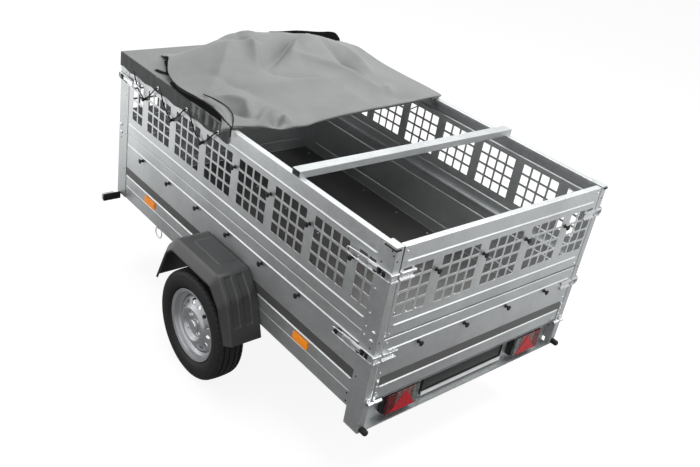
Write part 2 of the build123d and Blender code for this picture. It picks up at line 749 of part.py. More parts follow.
def latch(z):
    """Over-centre latch at the left rear corner: base, body, lever, wire loop and end strap."""
    # outwards from the post's face, forwards from the corner, half height
    blocks = (
        (0.0, 3.0, 12.0, 80.0, LATCH_BASE),
        (3.0, 14.0, 20.0, 76.0, 9.0),
        (11.0, 16.0, 60.0, 140.0, 8.0),
    )
    made = box(-POST_X - 8, -POST_X, REAR - 9, REAR + 12, z - 12, z + 12)
    made += box(-POST_X - 8, -GATE_HALF - GATE_GAP - 1, REAR - 9, REAR, z - 12, z + 12)
    for near, far, start, end, high in blocks:
        made += box(-POST_X - far, -POST_X - near, REAR + start, REAR + end, z - high, z + high)
    # forwards from the corner and up, half of the loop's outline
    half = ((96.0, 0.0), (106.0, 14.0), (178.0, 14.0), (193.0, 0.0))
    outline = list(half) + [(y, -up) for y, up in half[-2:0:-1]]
    middle = (half[0][0] + half[-1][0]) / 2
    outer = [(REAR + y, z + up) for y, up in outline]
    inner = [(REAR + middle + 0.9 * (y - middle), z + 0.67 * up) for y, up in outline]
    loop = make_face(Polyline(*outer, close=True)) - make_face(Polyline(*inner, close=True))
    return made + along_x(loop, -POST_X - 12, -POST_X - 7)


def latches():
    """Latches on the side faces, and the catch plates they hook on the gates."""
    middle = Plane((0, (REAR + FRONT) / 2, 0), x_dir=(1, 0, 0), z_dir=(0, 1, 0))
    levers = []
    for z, gate in LATCH_ROWS:
        levers.append(latch(z))
        catch = box(-GATE_HALF, -GATE_HALF + CATCH_W, REAR - CATCH_T, REAR, z - 15, z + 15)
        for side in (-15, 12):
            end = -GATE_HALF + CATCH_W - 5
            catch += box(-GATE_HALF, end, REAR - 10, REAR - CATCH_T, z + side, z + side + CATCH_T)
        nodes[gate + "_catches"] = Compound([catch, mirrored(catch)])
    levers.append(mirror(levers[-1], about=middle))
    nodes["side_latches"] = Compound(levers + [mirrored(lever) for lever in levers])


def rear_lamps():
    """Recessed lamp panel with its lamps, plate holder and rubber buffers."""
    half = POST_X - REAR_POST_W
    web = REAR + RECESS
    line = [(REAR, LEG_BOTTOM), (web + SHEET, LEG_BOTTOM), (web + SHEET, FLOOR_Z), (REAR, FLOOR_Z)]
    nodes["lamp_panel"] = along_x(band(line, SHEET), -half, half)
    lens_back = REAR + LENS_IN + LENS_T
    wide = LAMP_W / 2
    high = LAMP_H / 2
    lens_x = wide - LENS_EDGE
    lens_z = high - LENS_EDGE
    housing = box(-wide, wide, lens_back, web, -high, high)
    lens = box(-lens_x, lens_x, REAR + LENS_IN, lens_back, -lens_z, lens_z)
    nodes["lamp_housings"] = Compound([Pos(s * LAMP_X, 0, LAMP_Z) * housing for s in (-1, 1)])
    nodes["lamp_lenses"] = Compound([Pos(s * LAMP_X, 0, LAMP_Z) * lens for s in (-1, 1)])
    plate_top = PLATE_BOTTOM + PLATE_H
    nodes["plate_holder"] = box(-PLATE_W / 2, PLATE_W / 2, web - PLATE_T, web, PLATE_BOTTOM, plate_top)
    x = POST_X - BUFFER_IN
    z = LEG_BOTTOM + BUFFER_UP
    buffers = [prism(BUFFER_R, BUFFER_SIDES, (s * x, REAR, z), (0, -REAR_STANDOUT, 0)) for s in (-1, 1)]
    nodes["rubber_buffers"] = Compound(buffers)


def side_fittings():
    """Side reflectors, front marker lamps, lashing rings, corner caps and the crossbar."""
    low = REFLECTOR_Z - REFLECTOR_H / 2
    high = REFLECTOR_Z + REFLECTOR_H / 2
    reach = REFLECTOR_L / 2
    places = (REAR + REFLECTOR_FROM_REAR, FRONT - REFLECTOR_FROM_FRONT)
    reflectors = [box(-SKIN_X - REFLECTOR_T, -SKIN_X, y - reach, y + reach, low, high) for y in places]
    nodes["side_reflectors"] = Compound(reflectors + [mirrored(r) for r in reflectors])
    low = MARKER_Z - MARKER_H / 2
    back = FRONT - MARKER_BACK
    arm = box(-POST_X - MARKER_W, -POST_X, back, back + MARKER_T, low, low + MARKER_H)
    nodes["marker_brackets"] = Compound([arm, mirrored(arm)])
    outer = -POST_X - MARKER_W + 2
    lens_back = back + MARKER_T
    inner = outer + MARKER_LENS_W
    lens = box(outer, inner, lens_back, lens_back + MARKER_LENS_T, low + 2, low + MARKER_H - 2)
    nodes["marker_lenses"] = Compound([lens, mirrored(lens)])
    y = FRONT - RING_FROM_FRONT
    x = -SKIN_X + RING_IN
    half = RING_WIRE / 2
    wire = [(-half, RING_R - half), (half, RING_R - half), (half, RING_R + half), (-half, RING_R + half)]
    ring = turned(wire, RING_SIDES, (x, y, BOARD_BOTTOM - RING_DROP))
    reach = RING_TAB / 2
    ring += box(x - 6, x + 6, y - reach, y + reach, BOARD_BOTTOM - 10, BOARD_BOTTOM)
    nodes["lashing_rings"] = Compound([ring, mirrored(ring)])
    cap = box(-POST_X, -POST_X + REAR_POST_W, REAR, REAR + CAP_L, TOP_Z, TOP_Z + CAP_T)
    cap += box(-POST_X - 2, -POST_X, REAR, REAR + CAP_L, TOP_Z - CAP_DROP, TOP_Z + CAP_T)
    nodes["corner_caps"] = Compound([cap, mirrored(cap)])
    y = REAR + BAR_FROM_REAR
    half = BAR_W / 2
    hollow = half - BAR_WALL
    bar = box(-POST_X, POST_X, y - half, y + half, TOP_Z, TOP_Z + BAR_H)
    bar -= box(-POST_X, POST_X, y - hollow, y + hollow, TOP_Z + BAR_WALL, TOP_Z + BAR_H - BAR_WALL)
    nodes["crossbar"] = bar


def coupling():
    """Ball coupling head with its hand lever, on the drawbar's end."""
    y0 = NOSE - HEAD_FROM_NOSE
    z0 = DRAWBAR_Z
    half = DRAWBAR / 2
    tube = box(-half, half, y0 - 1, NOSE - DRAWBAR_SHORT, z0 - half, z0 + half)
    socket_y = NOSE - SOCKET_FROM_NOSE
    head = box(-HEAD_HALF, HEAD_HALF, y0, y0 + HEAD_L, z0 - 8, z0 + half + 8)
    head += rod_z(SOCKET_R, z0 - SOCKET_BOTTOM, z0 + SOCKET_TOP, 0, socket_y)
    head += box(-NECK_HALF, NECK_HALF, y0 + HEAD_L - 40, socket_y, z0 - 12, z0 + half)
    head -= rod_z(BALL_R, z0 - SOCKET_BOTTOM - 10, z0 - SOCKET_BOTTOM + BALL_DEPTH, 0, socket_y)
    head -= tube
    nodes["coupling_head"] = head
    start = NOSE - HANDLE_L - 70
    low = z0 + HANDLE_UP
    handle = box(-HANDLE_HALF, HANDLE_HALF, start, start + HANDLE_L, low, low + HANDLE_T)
    handle += box(-10, 10, start + HANDLE_L - 20, start + HANDLE_L - 4, z0 + half, low + HANDLE_T / 2)
    nodes["coupling_handle"] = handle - head


def jockey_wheel():
    """Jockey wheel: clamp and outer tube, screw-raised stem, swivelling fork and wheel."""
    x = JOCKEY_X
    y = JOCKEY_Y
    low = JOCKEY_LOW
    outer = rod_z(JOCKEY_OUTER_R, low, JOCKEY_TOP, x, y)
    side = -DRAWBAR / 2
    clamp_low = DRAWBAR_Z - CLAMP_H
    clamp = box(side - CLAMP_T, side, y - CLAMP_L, y + CLAMP_L, clamp_low, clamp_low + 2 * CLAMP_H)
    clamp += rod_z(JOCKEY_OUTER_R + 6, clamp_low + 4, clamp_low + 2 * CLAMP_H - 4, x, y)
    nodes["jockey_tube"] = outer + clamp - rod_z(JOCKEY_INNER_R + JOCKEY_PLAY, low, JOCKEY_TOP - 6, x, y)
    lift = JOCKEY_TOP + CRANK_UP
    crank = rod_z(CRANK_R, JOCKEY_TOP, lift + 6, x, y)
    crank += box(x - CRANK_R, x + CRANK_R, y - CRANK_R, y + CRANK_L + 10, lift, lift + CRANK_T)
    crank += rod_z(CRANK_R + 1, lift + CRANK_T, lift + CRANK_T + GRIP_L, x, y + CRANK_L)
    nodes["jockey_crank"] = crank
    hub_z = JOCKEY_WHEEL_R
    crown_z = 2 * JOCKEY_WHEEL_R + CROWN_UP
    base = crown_z + PIN_PLAY
    stem = rod_z(JOCKEY_INNER_R, base, low + JOCKEY_LAP, x, y)
    stem += rod_z(JOCKEY_INNER_R + COLLAR_OUT, base, crown_z + COLLAR_T, x, y)
    nodes["jockey_stem"] = stem - rod_z(SWIVEL_R + PIN_PLAY, crown_z, crown_z + SWIVEL_H, x, y)
    gap = JOCKEY_WHEEL_W / 2 + FORK_GAP
    hub_y = y - JOCKEY_TRAIL
    rear = hub_y - 20
    front = y + 24
    fork = box(x - gap - FORK_T, x + gap + FORK_T, rear, front, crown_z - FORK_T, crown_z)
    low_edge = hub_z - 2 * JOCKEY_SPINDLE_R
    foot = ((hub_y + 18, low_edge), (hub_y - 18, low_edge))
    cheek = Polyline((rear, crown_z), (front, crown_z), *foot, close=True)
    for inner in (x - gap - FORK_T, x + gap):
        fork += along_x(make_face(cheek), inner, inner + FORK_T)
    fork += rod_x(JOCKEY_SPINDLE_R, x - gap - 10, x + gap + 10, hub_y, hub_z)
    fork += rod_z(SWIVEL_R, crown_z - 1, crown_z + SWIVEL_H - 0.5, x, y)
    nodes["jockey_fork"] = fork
    reach = JOCKEY_WHEEL_W / 2
    roller = rod_x(JOCKEY_WHEEL_R, x - reach, x + reach, hub_y, hub_z)
    nodes["jockey_roller"] = roller - rod_x(JOCKEY_SPINDLE_R + PIN_PLAY, x - gap, x + gap, hub_y, hub_z)


def cover():
    """Grey cover over the front half: flat top, side skirts, and the rest folded forward on it."""
    top = TOP_Z + COVER_GAP
    rear = FRONT - COVER_L
    skirt_x = SKIN_X + RIDGE_H + COVER_GAP
    edge = skirt_x + COVER_T
    front = FRONT + COVER_GAP + COVER_T
    flat = box(-edge, edge, rear, front, top, top + COVER_T)
    skirt = box(-edge, -skirt_x, rear, front, TOP_Z - SKIRT_H, top + COVER_T)
    apron = box(-edge, edge, front - COVER_T, front, TOP_Z - SKIRT_H, top + COVER_T)
    base = top + COVER_T - 1
    # forwards from the rear fold as a share of the cover's length, and height above the flat top
    fold = (
        (0.0, 0.0),
        (0.0, 16.0),
        (0.299, 50.0),
        (0.537, 116.0),
        (0.637, 147.0),
        (0.716, 141.0),
        (0.786, 101.0),
        (0.876, 9.0),
        (0.896, 0.0),
    )
    line = [(rear + share * COVER_L, base + up) for share, up in fold]
    bundle = along_x(make_face(Polyline(*line, close=True)), -POST_X + FOLD_LEFT_IN, POST_X - FOLD_RIGHT_IN)
    nodes["cover"] = flat + [skirt, mirrored(skirt), apron, bundle]


def lacing():
    """Elastic cord laced from eyelets in the skirts down to the upper knobs."""
    x = -SKIN_X - RIDGE_H - 2 * COVER_GAP - COVER_T - CORD_R
    eye_z = TOP_Z - SKIRT_H + EYELET_UP
    legs = []
    for y in SIDE_KNOBS:
        if y > FRONT - COVER_L + 40:
            for side in (-1, 1):
                spread = side * PILLAR_PITCH * CORD_SPREAD
                foot = side * (NECK_R + CORD_R + COVER_GAP)
                along = (0, foot - spread, KNOB_HIGH - eye_z)
                legs.append(prism(CORD_R, 6, (x, y + spread, eye_z), along))
    nodes["lacing"] = Compound(legs + [mirrored(leg) for leg in legs])


side_boards()
mesh_sides()
front_panels()
posts()
floor_and_frame()
axle()
wheel()
mudguards()
tailgate()
mesh_tailgate()
knobs()
latches()
rear_lamps()
side_fittings()
coupling()
jockey_wheel()
cover()
lacing()

for name, shape in nodes.items():
    export_step(shape, "parts/" + name + ".step")
print(len(nodes), "nodes")
print("REAR", REAR, "FRONT", FRONT, "NOSE", NOSE, "AXLE_Y", AXLE_Y)
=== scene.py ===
import math

import bpy
import numpy as np
from mathutils import Euler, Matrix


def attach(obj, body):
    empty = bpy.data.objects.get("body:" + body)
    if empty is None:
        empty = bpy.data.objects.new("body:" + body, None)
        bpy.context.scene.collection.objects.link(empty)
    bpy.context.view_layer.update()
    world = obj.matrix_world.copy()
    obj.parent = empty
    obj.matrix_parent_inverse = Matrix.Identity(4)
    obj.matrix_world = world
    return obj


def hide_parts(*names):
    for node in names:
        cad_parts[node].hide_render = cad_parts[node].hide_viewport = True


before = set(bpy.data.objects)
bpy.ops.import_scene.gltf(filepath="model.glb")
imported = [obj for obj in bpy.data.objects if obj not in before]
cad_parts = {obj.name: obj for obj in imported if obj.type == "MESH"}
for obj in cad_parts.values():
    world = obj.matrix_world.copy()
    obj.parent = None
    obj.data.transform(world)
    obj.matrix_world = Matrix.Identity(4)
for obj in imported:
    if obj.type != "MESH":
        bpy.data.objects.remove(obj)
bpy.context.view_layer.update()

# Camera
# A plain camera without shift. Its place and its three turns come from fitting the trailer's
# straight edges, knobs and corners to the photograph, whose width the sensor stands for.
CAMERA_PLACE = (-2.5715, -3.1893, 2.6583)
CAMERA_TURNS = (60.6607, -9.2509, -39.7788)
FOCAL_PIXELS = 839.5
PHOTO_WIDTH = 700.0

camera = bpy.data.cameras.new("camera")
camera.sensor_width = 36.0
camera.lens = FOCAL_PIXELS / PHOTO_WIDTH * camera.sensor_width
camera.clip_end = 60.0
camera_object = bpy.data.objects.new("camera", camera)
camera_object.location = CAMERA_PLACE
camera_object.rotation_euler = Euler([math.radians(turn) for turn in CAMERA_TURNS], "XYZ")
bpy.context.scene.collection.objects.link(camera_object)
bpy.context.scene.camera = camera_object
bpy.context.scene.view_settings.view_transform = "Standard"


def linear(code):
    """Linear colour of an sRGB hex code: below 0.04045 a channel is divided by 12.92, above it
    the channel plus 0.055 is divided by 1.055 and raised to the power 2.4."""
    channels = [int(code[i : i + 2], 16) / 255 for i in (1, 3, 5)]
    return [c / 12.92 if c <= 0.04045 else ((c + 0.055) / 1.055) ** 2.4 for c in channels] + [1.0]


def add(tree, kind, settings=(), links=()):
    """Adds one node to a tree: settings are node properties or input values by name or number,
    and links are inputs with the output that feeds them."""
    made = tree.nodes.new(kind)
    for key, value in dict(settings).items():
        if isinstance(key, int) or key in made.inputs:
            made.inputs[key].default_value = value
        else:
            setattr(made, key, value)
    for key, source in dict(links).items():
        tree.links.new(source, made.inputs[key])
    return made


def blank(made):
    """Empties the node tree of a new material or world, and gives the tree."""
    made.use_nodes = True
    made.node_tree.nodes.clear()
    return made.node_tree


def spread(tree, value, low, high, start=0.0, end=1.0):
    """Runs from low to high as the value runs from start to end, and stops there."""
    limits = {"From Min": start, "From Max": end, "To Min": low, "To Max": high}
    return add(tree, "ShaderNodeMapRange", limits, {"Value": value}).outputs[0]


def larger(tree, first, second):
    """The larger of two values."""
    return add(tree, "ShaderNodeMath", {"operation": "MAXIMUM"}, {0: first, 1: second}).outputs[0]


def mix(tree, share, first, second):
    """Mix of two shaders by the share of the second."""
    return add(tree, "ShaderNodeMixShader", (), {0: share, 1: first, 2: second}).outputs[0]


# Studio floor and lamps
# Matt white paper under the trailer. To the camera it glows a little, as the photograph's white
# ground, and still takes a soft shadow. In reflections it runs from dark grey at the left of the
# trailer's rear to white in front and on the right, as with a black flag beside the camera.
PAPER_SIZE = 40.0
PAPER_GLOW = 0.72
PAPER_WHITE = 1.24
# darkest and lightest reflection, and the metres between which it changes
AHEAD = (0.2, 1.7, 0.7, 2.6)
BESIDE = (0.2, 0.85, 0.1, 2.2)
SKY_DIFFUSE = 0.3
SKY_GLOSSY = 1.5
BACKDROP = 1.05

paper = bpy.data.materials.new("matt_white_paper")
tree = blank(paper)
rays = add(tree, "ShaderNodeLightPath").outputs
seen = larger(tree, rays["Is Camera Ray"], rays["Is Transmission Ray"])
share = add(tree, "ShaderNodeMath", {"operation": "MULTIPLY", 1: PAPER_GLOW}, {0: seen})
matt = add(tree, "ShaderNodeBsdfDiffuse", {"Color": linear("#f4f4f4")})
glow = add(tree, "ShaderNodeEmission", {"Color": linear("#ffffff"), "Strength": PAPER_WHITE})
direct = mix(tree, share.outputs[0], matt.outputs[0], glow.outputs[0])
place = add(tree, "ShaderNodeTexCoord").outputs["Object"]
place = add(tree, "ShaderNodeSeparateXYZ", (), {0: place}).outputs
flagged = larger(tree, spread(tree, place["Y"], *AHEAD), spread(tree, place["X"], *BESIDE))
mirrored = add(tree, "ShaderNodeEmission", (), {"Strength": flagged})
ground = mix(tree, rays["Is Glossy Ray"], direct, mirrored.outputs[0])
add(tree, "ShaderNodeOutputMaterial", (), {"Surface": ground})

reach = PAPER_SIZE / 2
sheet = bpy.data.meshes.new("studio_floor")
corners = [(-reach, -reach, 0), (reach, -reach, 0), (reach, reach, 0), (-reach, reach, 0)]
sheet.from_pydata(corners, [], [(0, 1, 2, 3)])
sheet.materials.append(paper)
studio_floor = bpy.data.objects.new("studio_floor", sheet)
bpy.context.scene.collection.objects.link(studio_floor)

world = bpy.data.worlds.new("studio")
tree = blank(world)
rays = add(tree, "ShaderNodeLightPath").outputs
seen = larger(tree, rays["Is Camera Ray"], rays["Is Transmission Ray"])
power = spread(tree, rays["Is Glossy Ray"], SKY_DIFFUSE, SKY_GLOSSY)
soft = add(tree, "ShaderNodeBackground", {"Color": linear("#fafafa")}, {"Strength": power})
white = add(tree, "ShaderNodeBackground", {"Color": linear("#ffffff"), "Strength": BACKDROP})
add(tree, "ShaderNodeOutputWorld", (), {"Surface": mix(tree, seen, soft.outputs[0], white.outputs[0])})
bpy.context.scene.world = world

# name, place, size, power, turns in degrees
LAMPS = (
    ("overhead_bank", (0.3, 0.0, 4.6), 4.0, 140.0, (0, 0, 0)),
    ("rear_bank", (2.2, -5.2, 2.6), 2.6, 38.0, (66, 0, 22)),
    ("key_lamp", (1.9, -2.4, 3.9), 0.8, 60.0, (50, 0, 38)),
    ("left_bank", (-4.6, 4.2, 2.0), 2.4, 34.0, (70, 0, -140)),
)
for name, place, size, power, turns in LAMPS:
    lamp = bpy.data.lights.new(name, "AREA")
    lamp.shape = "SQUARE"
    lamp.size = size
    lamp.energy = power
    lamp_object = bpy.data.objects.new(name, lamp)
    lamp_object.location = place
    lamp_object.rotation_euler = Euler([math.radians(turn) for turn in turns], "XYZ")
    bpy.context.scene.collection.objects.link(lamp_object)

# Body dimensions in millimetres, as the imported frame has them: REAR and FRONT are the outer faces
# of the corner posts, and the sheet skins lie one post thickness inside them.
REAR = -1502.5
FRONT = 577.5
POST_X = 645.0
POST_T = 2.0
SKIN_X = POST_X - POST_T
SHEET_T = 1.5
BOARD_BOTTOM = 433.0
JOINT_Z = 809.0
TOP_Z = 1220.0


def ramp(tree, value, *stops):
    """Colour ramp over a value, from two stops of a position and a linear colour."""
    made = add(tree, "ShaderNodeValToRGB", (), {"Fac": value})
    for element, (position, colour) in zip(made.color_ramp.elements, stops):
        element.position = position
        element.color = colour
    return made.outputs["Color"]


def mottled(tree, value, colour, amount):
    """A colour that runs, over the middle of a noise, from darker to lighter by the amount."""
    base = np.array(linear(colour)[:3])
    return ramp(tree, value, (0.3, [*(base * (1 - amount)), 1.0]), (0.7, [*(base * (1 + amount)), 1.0]))


def raised(tree, height, strength, distance):
    """Normal of a surface that stands out by a pattern's height, at most distance metres."""
    bump = add(tree, "ShaderNodeBump", {"Strength": strength, "Distance": distance}, {"Height": height})
    return bump.outputs[0]


def surface(tree, settings, links):
    """Principled surface with settings and links, as the material's output."""
    shader = add(tree, "ShaderNodeBsdfPrincipled", settings, links)
    add(tree, "ShaderNodeOutputMaterial", (), {"Surface": shader.outputs[0]})


def zinc(name, colour, roughness, blotch=0.10, metallic=0.8):
    """Galvanised steel. Three patterns on object coordinates: soft blotches about 250 mm wide,
    zinc crystals about 9 mm wide, and a fine grain, drawn 2 mm wide so that it shows."""
    made = bpy.data.materials.new(name)
    tree = blank(made)
    place = {"Vector": add(tree, "ShaderNodeTexCoord").outputs["Object"]}
    soft = add(tree, "ShaderNodeTexNoise", {"Scale": 4.0, "Detail": 3.0}, place).outputs[0]
    crystal = add(tree, "ShaderNodeTexVoronoi", {"Scale": 110.0, "Randomness": 1.0}, place).outputs["Color"]
    grain = add(tree, "ShaderNodeTexNoise", {"Scale": 500.0, "Detail": 2.0}, place).outputs[0]
    shades = {0: mottled(tree, soft, colour, blotch), "Scale": spread(tree, crystal, 0.93, 1.05)}
    links = {
        "Base Color": add(tree, "ShaderNodeVectorMath", {"operation": "SCALE"}, shades).outputs[0],
        "Roughness": spread(tree, crystal, roughness - 0.05, roughness + 0.07),
        "Normal": raised(tree, grain, 0.06, 0.0004),
    }
    surface(tree, {"Metallic": metallic}, links)
    return made


def solid(name, colour, roughness, grain_mm=1.5, bump_mm=0.15, metallic=0.0, specular=0.5):
    """Plain finish in one colour. Noise on object coordinates, with features as wide as grain_mm,
    varies the colour and the roughness a little and raises the surface by bump_mm."""
    made = bpy.data.materials.new(name)
    tree = blank(made)
    place = {"Vector": add(tree, "ShaderNodeTexCoord").outputs["Object"]}
    fine = add(tree, "ShaderNodeTexNoise", {"Scale": 1000.0 / grain_mm, "Detail": 2.0}, place).outputs[0]
    wide = add(tree, "ShaderNodeTexNoise", {"Scale": 9.0, "Detail": 3.0}, place).outputs[0]
    links = {
        "Base Color": mottled(tree, wide, colour, 0.08),
        "Roughness": spread(tree, wide, roughness - 0.06, roughness + 0.08),
        "Normal": raised(tree, fine, 0.5, bump_mm / 1000),
    }
    surface(tree, {"Metallic": metallic, "Specular IOR Level": specular}, links)
    return made


# Drawbar, cross members, axle and floor
# Hot-dip galvanised tube, channels and torsion axle keep their packed form, as does the floor of
# dark film-faced plywood. Its colour is painted lighter towards the tailgate as painted light, where
# light falls in through the open rear and the film's sheen catches it.
PAINTED_FLOOR_LIGHT = (0.0, 0.85, -0.75, -1.5)

frame_zinc = zinc("hot_dip_galvanised_steel", "#aeb1b2", 0.5, blotch=0.16)
floor_film = solid("film_faced_plywood", "#3b3938", 0.42, grain_mm=2.5, bump_mm=0.2)
tree = floor_film.node_tree
shader = next(node for node in tree.nodes if node.type == "BSDF_PRINCIPLED")
film = shader.inputs["Base Color"].links[0].from_socket
place = add(tree, "ShaderNodeTexCoord").outputs["Object"]
place = add(tree, "ShaderNodeSeparateXYZ", (), {0: place}).outputs
# Painted light: the film's colour runs to light grey towards the tailgate.
colours = {"Factor": spread(tree, place["Y"], *PAINTED_FLOOR_LIGHT), "A": film}
floor_painted_light = add(tree, "ShaderNodeMix", {"data_type": "RGBA", "B": linear("#a3a3a1")}, colours)
tree.links.new(floor_painted_light.outputs["Result"], shader.inputs["Base Color"])


def paint(material, *nodes):
    """Gives CAD nodes that stay in view their material."""
    for node in nodes:
        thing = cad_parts[node]
        for index in range(len(thing.data.materials)):
            thing.data.materials[index] = material


paint(frame_zinc, "drawbar", "cross_members", "axle_beam", "axle_arms", "crossbar")
paint(floor_film, "floor_panel")


# Pressed lower boards
# Sendzimir galvanised steel, 1.5 mm, folded on a press brake and stiffened by rolled ridges.
# The zinc gives a dull grey shine with faint crystals, and light catches on each ridge.
RIDGE_H = 4.0
LOW_RIDGE_H = 2.0
FRONT_RIDGE_H = 1.6
RIDGE_W = 12.0
BEND_R = 3.0
FLANGE = 20.0
SIDE_FLANGE = 25.0
RIDGE_LOW = 505.0
RIDGE_1 = 568.0
RIDGE_2 = 749.0
RIDGE_3 = 866.0
RIDGE_4 = 1152.0
POST_L = 86.0
GATE_HALF = 601.5
GATE_BOTTOM = 505.5
GATE_TOP = 805.5
HALF_GAP = 0.5

sheet_zinc = zinc("galvanised_sheet_steel", "#bfc2c3", 0.42)
post_zinc = zinc("galvanised_plate_steel", "#b9bcbd", 0.45)


def piece(name, shapes, material, node=None, body="trailer", thickness=0.0, bevel=0.0, smooth=30):
    """One object that rides on a body, and stands for a CAD node if one is
    named. Each shape is points in millimetres with faces as lists of point numbers. Free edges are
    marked sharp, so that a cut edge stays crisp. A thickness is added inwards, and a bevel rounds
    the sharp edges."""
    points = []
    faces = []
    start = 0
    for shape_points, shape_faces in shapes:
        points.append(np.asarray(shape_points, float))
        faces += [[n + start for n in face] for face in shape_faces]
        start += len(shape_points)
    used, flat = np.unique(np.array([n for face in faces for n in face]), return_inverse=True)
    flat = iter(flat.tolist())
    faces = [[next(flat) for _ in face] for face in faces]
    mesh = bpy.data.meshes.new(name)
    mesh.from_pydata((np.vstack(points)[used] / 1000).tolist(), [], faces)
    mesh.materials.append(material)
    made = bpy.data.objects.new(name, mesh)
    bpy.context.scene.collection.objects.link(made)
    mesh.shade_smooth()
    mesh.set_sharp_from_angle(angle=math.radians(smooth))
    uses = np.bincount([loop.edge_index for loop in mesh.loops], minlength=len(mesh.edges))
    for edge in np.flatnonzero(uses == 1).tolist():
        mesh.edges[edge].use_edge_sharp = True
    if thickness:
        wall = made.modifiers.new("wall", "SOLIDIFY")
        wall.thickness = thickness / 1000
        wall.offset = -1.0
    if bevel:
        edge = made.modifiers.new("edge", "BEVEL")
        edge.width = bevel / 1000
        edge.segments = 2
        edge.limit_method = "ANGLE"
        edge.angle_limit = math.radians(40)
        edge.harden_normals = True
    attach(made, body)
    if node:
        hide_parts(node)
    return made


def grid(points, keep=None, closed=False, around=False, flip=False):
    """Quads through a grid of points, row by row. Closed joins the last row to the first, around
    the last column to the first, and keep says which cells stay."""
    rows, columns = points.shape[:2]
    index = np.arange(rows * columns).reshape(rows, columns)
    if closed:
        index = np.vstack([index, index[:1]])
    if around:
        index = np.hstack([index, index[:, :1]])
    quads = np.stack([index[:-1, :-1], index[:-1, 1:], index[1:, 1:], index[1:, :-1]], axis=-1)
    quads = quads.reshape(-1, 4) if keep is None else quads[keep]
    if flip:
        quads = quads[:, ::-1]
    return points.reshape(-1, 3), quads.tolist()


def bent(corners, radius, steps=4):
    """Profile through 2-D corners with each inner corner rounded: an arc of the radius that
    touches both legs, which starts radius times the tangent of half the turn from the corner. A
    point just outside each end of the arc keeps the legs flat in the shading."""
    corners = [np.array(c, float) for c in corners]
    line = [corners[0]]
    for before, corner, after in zip(corners, corners[1:], corners[2:]):
        into = (corner - before) / np.linalg.norm(corner - before)
        out = (after - corner) / np.linalg.norm(after - corner)
        turn = math.acos(np.clip(into @ out, -1, 1))
        start = corner - into * radius * math.tan(turn / 2)
        side = np.sign(into[0] * out[1] - into[1] * out[0])
        normal = np.array([-into[1], into[0]]) * side
        centre = start + normal * radius
        line.append(start - into * 0.4)
        for n in range(steps + 1):
            angle = turn * n / steps
            line.append(centre + (into * math.sin(angle) - normal * math.cos(angle)) * radius)
        line.append(line[-1] + out * 0.4)
    line.append(corners[-1])
    return np.array(line)


def ridge_line(centre, height, steps=8):
    """Stations across one pressed ridge: heights follow half of one plus the cosine, which is
    flat at the crest and at both feet, with one more point outside each foot."""
    share = np.concatenate([[-1.1], np.linspace(-1, 1, steps + 1), [1.1]])
    out = height * (1 + np.cos(np.pi * np.clip(share, -1, 1))) / 2
    return np.stack([out, centre + share * RIDGE_W / 2], axis=-1)


def panel_profile(corners, ridges, heights=()):
    """Profile of a folded panel, from its lower edge up: (out, height) points with rounded bends,
    a ridge worked into its flat face, which lies at out 0, at each height in ridges, and plain
    points at the other heights."""
    line = bent(corners, BEND_R)
    extra = [ridge_line(centre, height) for centre, height in ridges]
    extra += [np.array([[0.0, height]]) for height in heights]
    for points in extra:
        cut = np.argmax((line[:, 1] > points[:, 1].mean()) & (line[:, 0] > -BEND_R - 1))
        line = np.vstack([line[:cut], points, line[cut:]])
    return line


def panel_grid(profile, ends, fade, others=()):
    """Grid of (out, along, up) points of a panel, at its ends, at four steps in each ridge end and
    at any others. Ridges stand out fully from 12 mm inside the two fade limits and sink along half
    a cosine to nothing at the limits."""
    runs = [fade[0] + step for step in (0, 3, 6, 9, 12)] + [fade[1] - step for step in (0, 3, 6, 9, 12)]
    stations = np.array(sorted({*ends, *runs, *others}))
    out = np.repeat(profile[:, None, 0], len(stations), axis=1)
    share = np.clip(np.minimum(stations - fade[0], fade[1] - stations) / 12.0, 0, 1)
    out = np.where(out > 0, out * (1 - np.cos(np.pi * share[None, :])) / 2, out)
    along = np.repeat(stations[None, :], len(profile), axis=0)
    up = np.repeat(profile[:, None, 1], len(stations), axis=1)
    return np.stack([out, along, up], axis=-1)


def face_left(panel):
    """Places a panel grid on the left side."""
    return np.stack([-SKIN_X - panel[..., 0], panel[..., 1], panel[..., 2]], axis=-1)


def face_right(panel):
    """Places a panel grid on the right side."""
    return face_left(panel) * (-1, 1, 1)


def face_rear(panel):
    """Places a panel grid on the back, between the rear posts."""
    return np.stack([panel[..., 1], REAR - panel[..., 0], panel[..., 2]], axis=-1)


def face_front(panel):
    """Places a panel grid on the front."""
    return np.stack([panel[..., 1], FRONT - POST_T + panel[..., 0], panel[..., 2]], axis=-1)


def folded(name, node, place, panel, keep=None, body="trailer"):
    """One folded sheet from its panel grid, on the face that place puts it on."""
    shape = grid(place(panel), keep, flip=place in (face_left, face_front))
    piece(name, [shape], sheet_zinc, node, body, thickness=SHEET_T)


SIDE_ENDS = (REAR + 6.0, FRONT - POST_T - SHEET_T)
SIDE_FADE = (REAR + POST_L, FRONT - 92.0)
FRONT_FADE = (-SKIN_X + 42.0, SKIN_X - 42.0)
GATE_ENDS = (-GATE_HALF, GATE_HALF)
GATE_FADE = (-GATE_HALF + 20.0, GATE_HALF - 20.0)
BOARD = [(0, BOARD_BOTTOM), (0, JOINT_Z - HALF_GAP), (-FLANGE, JOINT_Z - HALF_GAP)]
GATE = [(-FLANGE, GATE_BOTTOM), (0, GATE_BOTTOM), (0, GATE_TOP), (-FLANGE, GATE_TOP)]

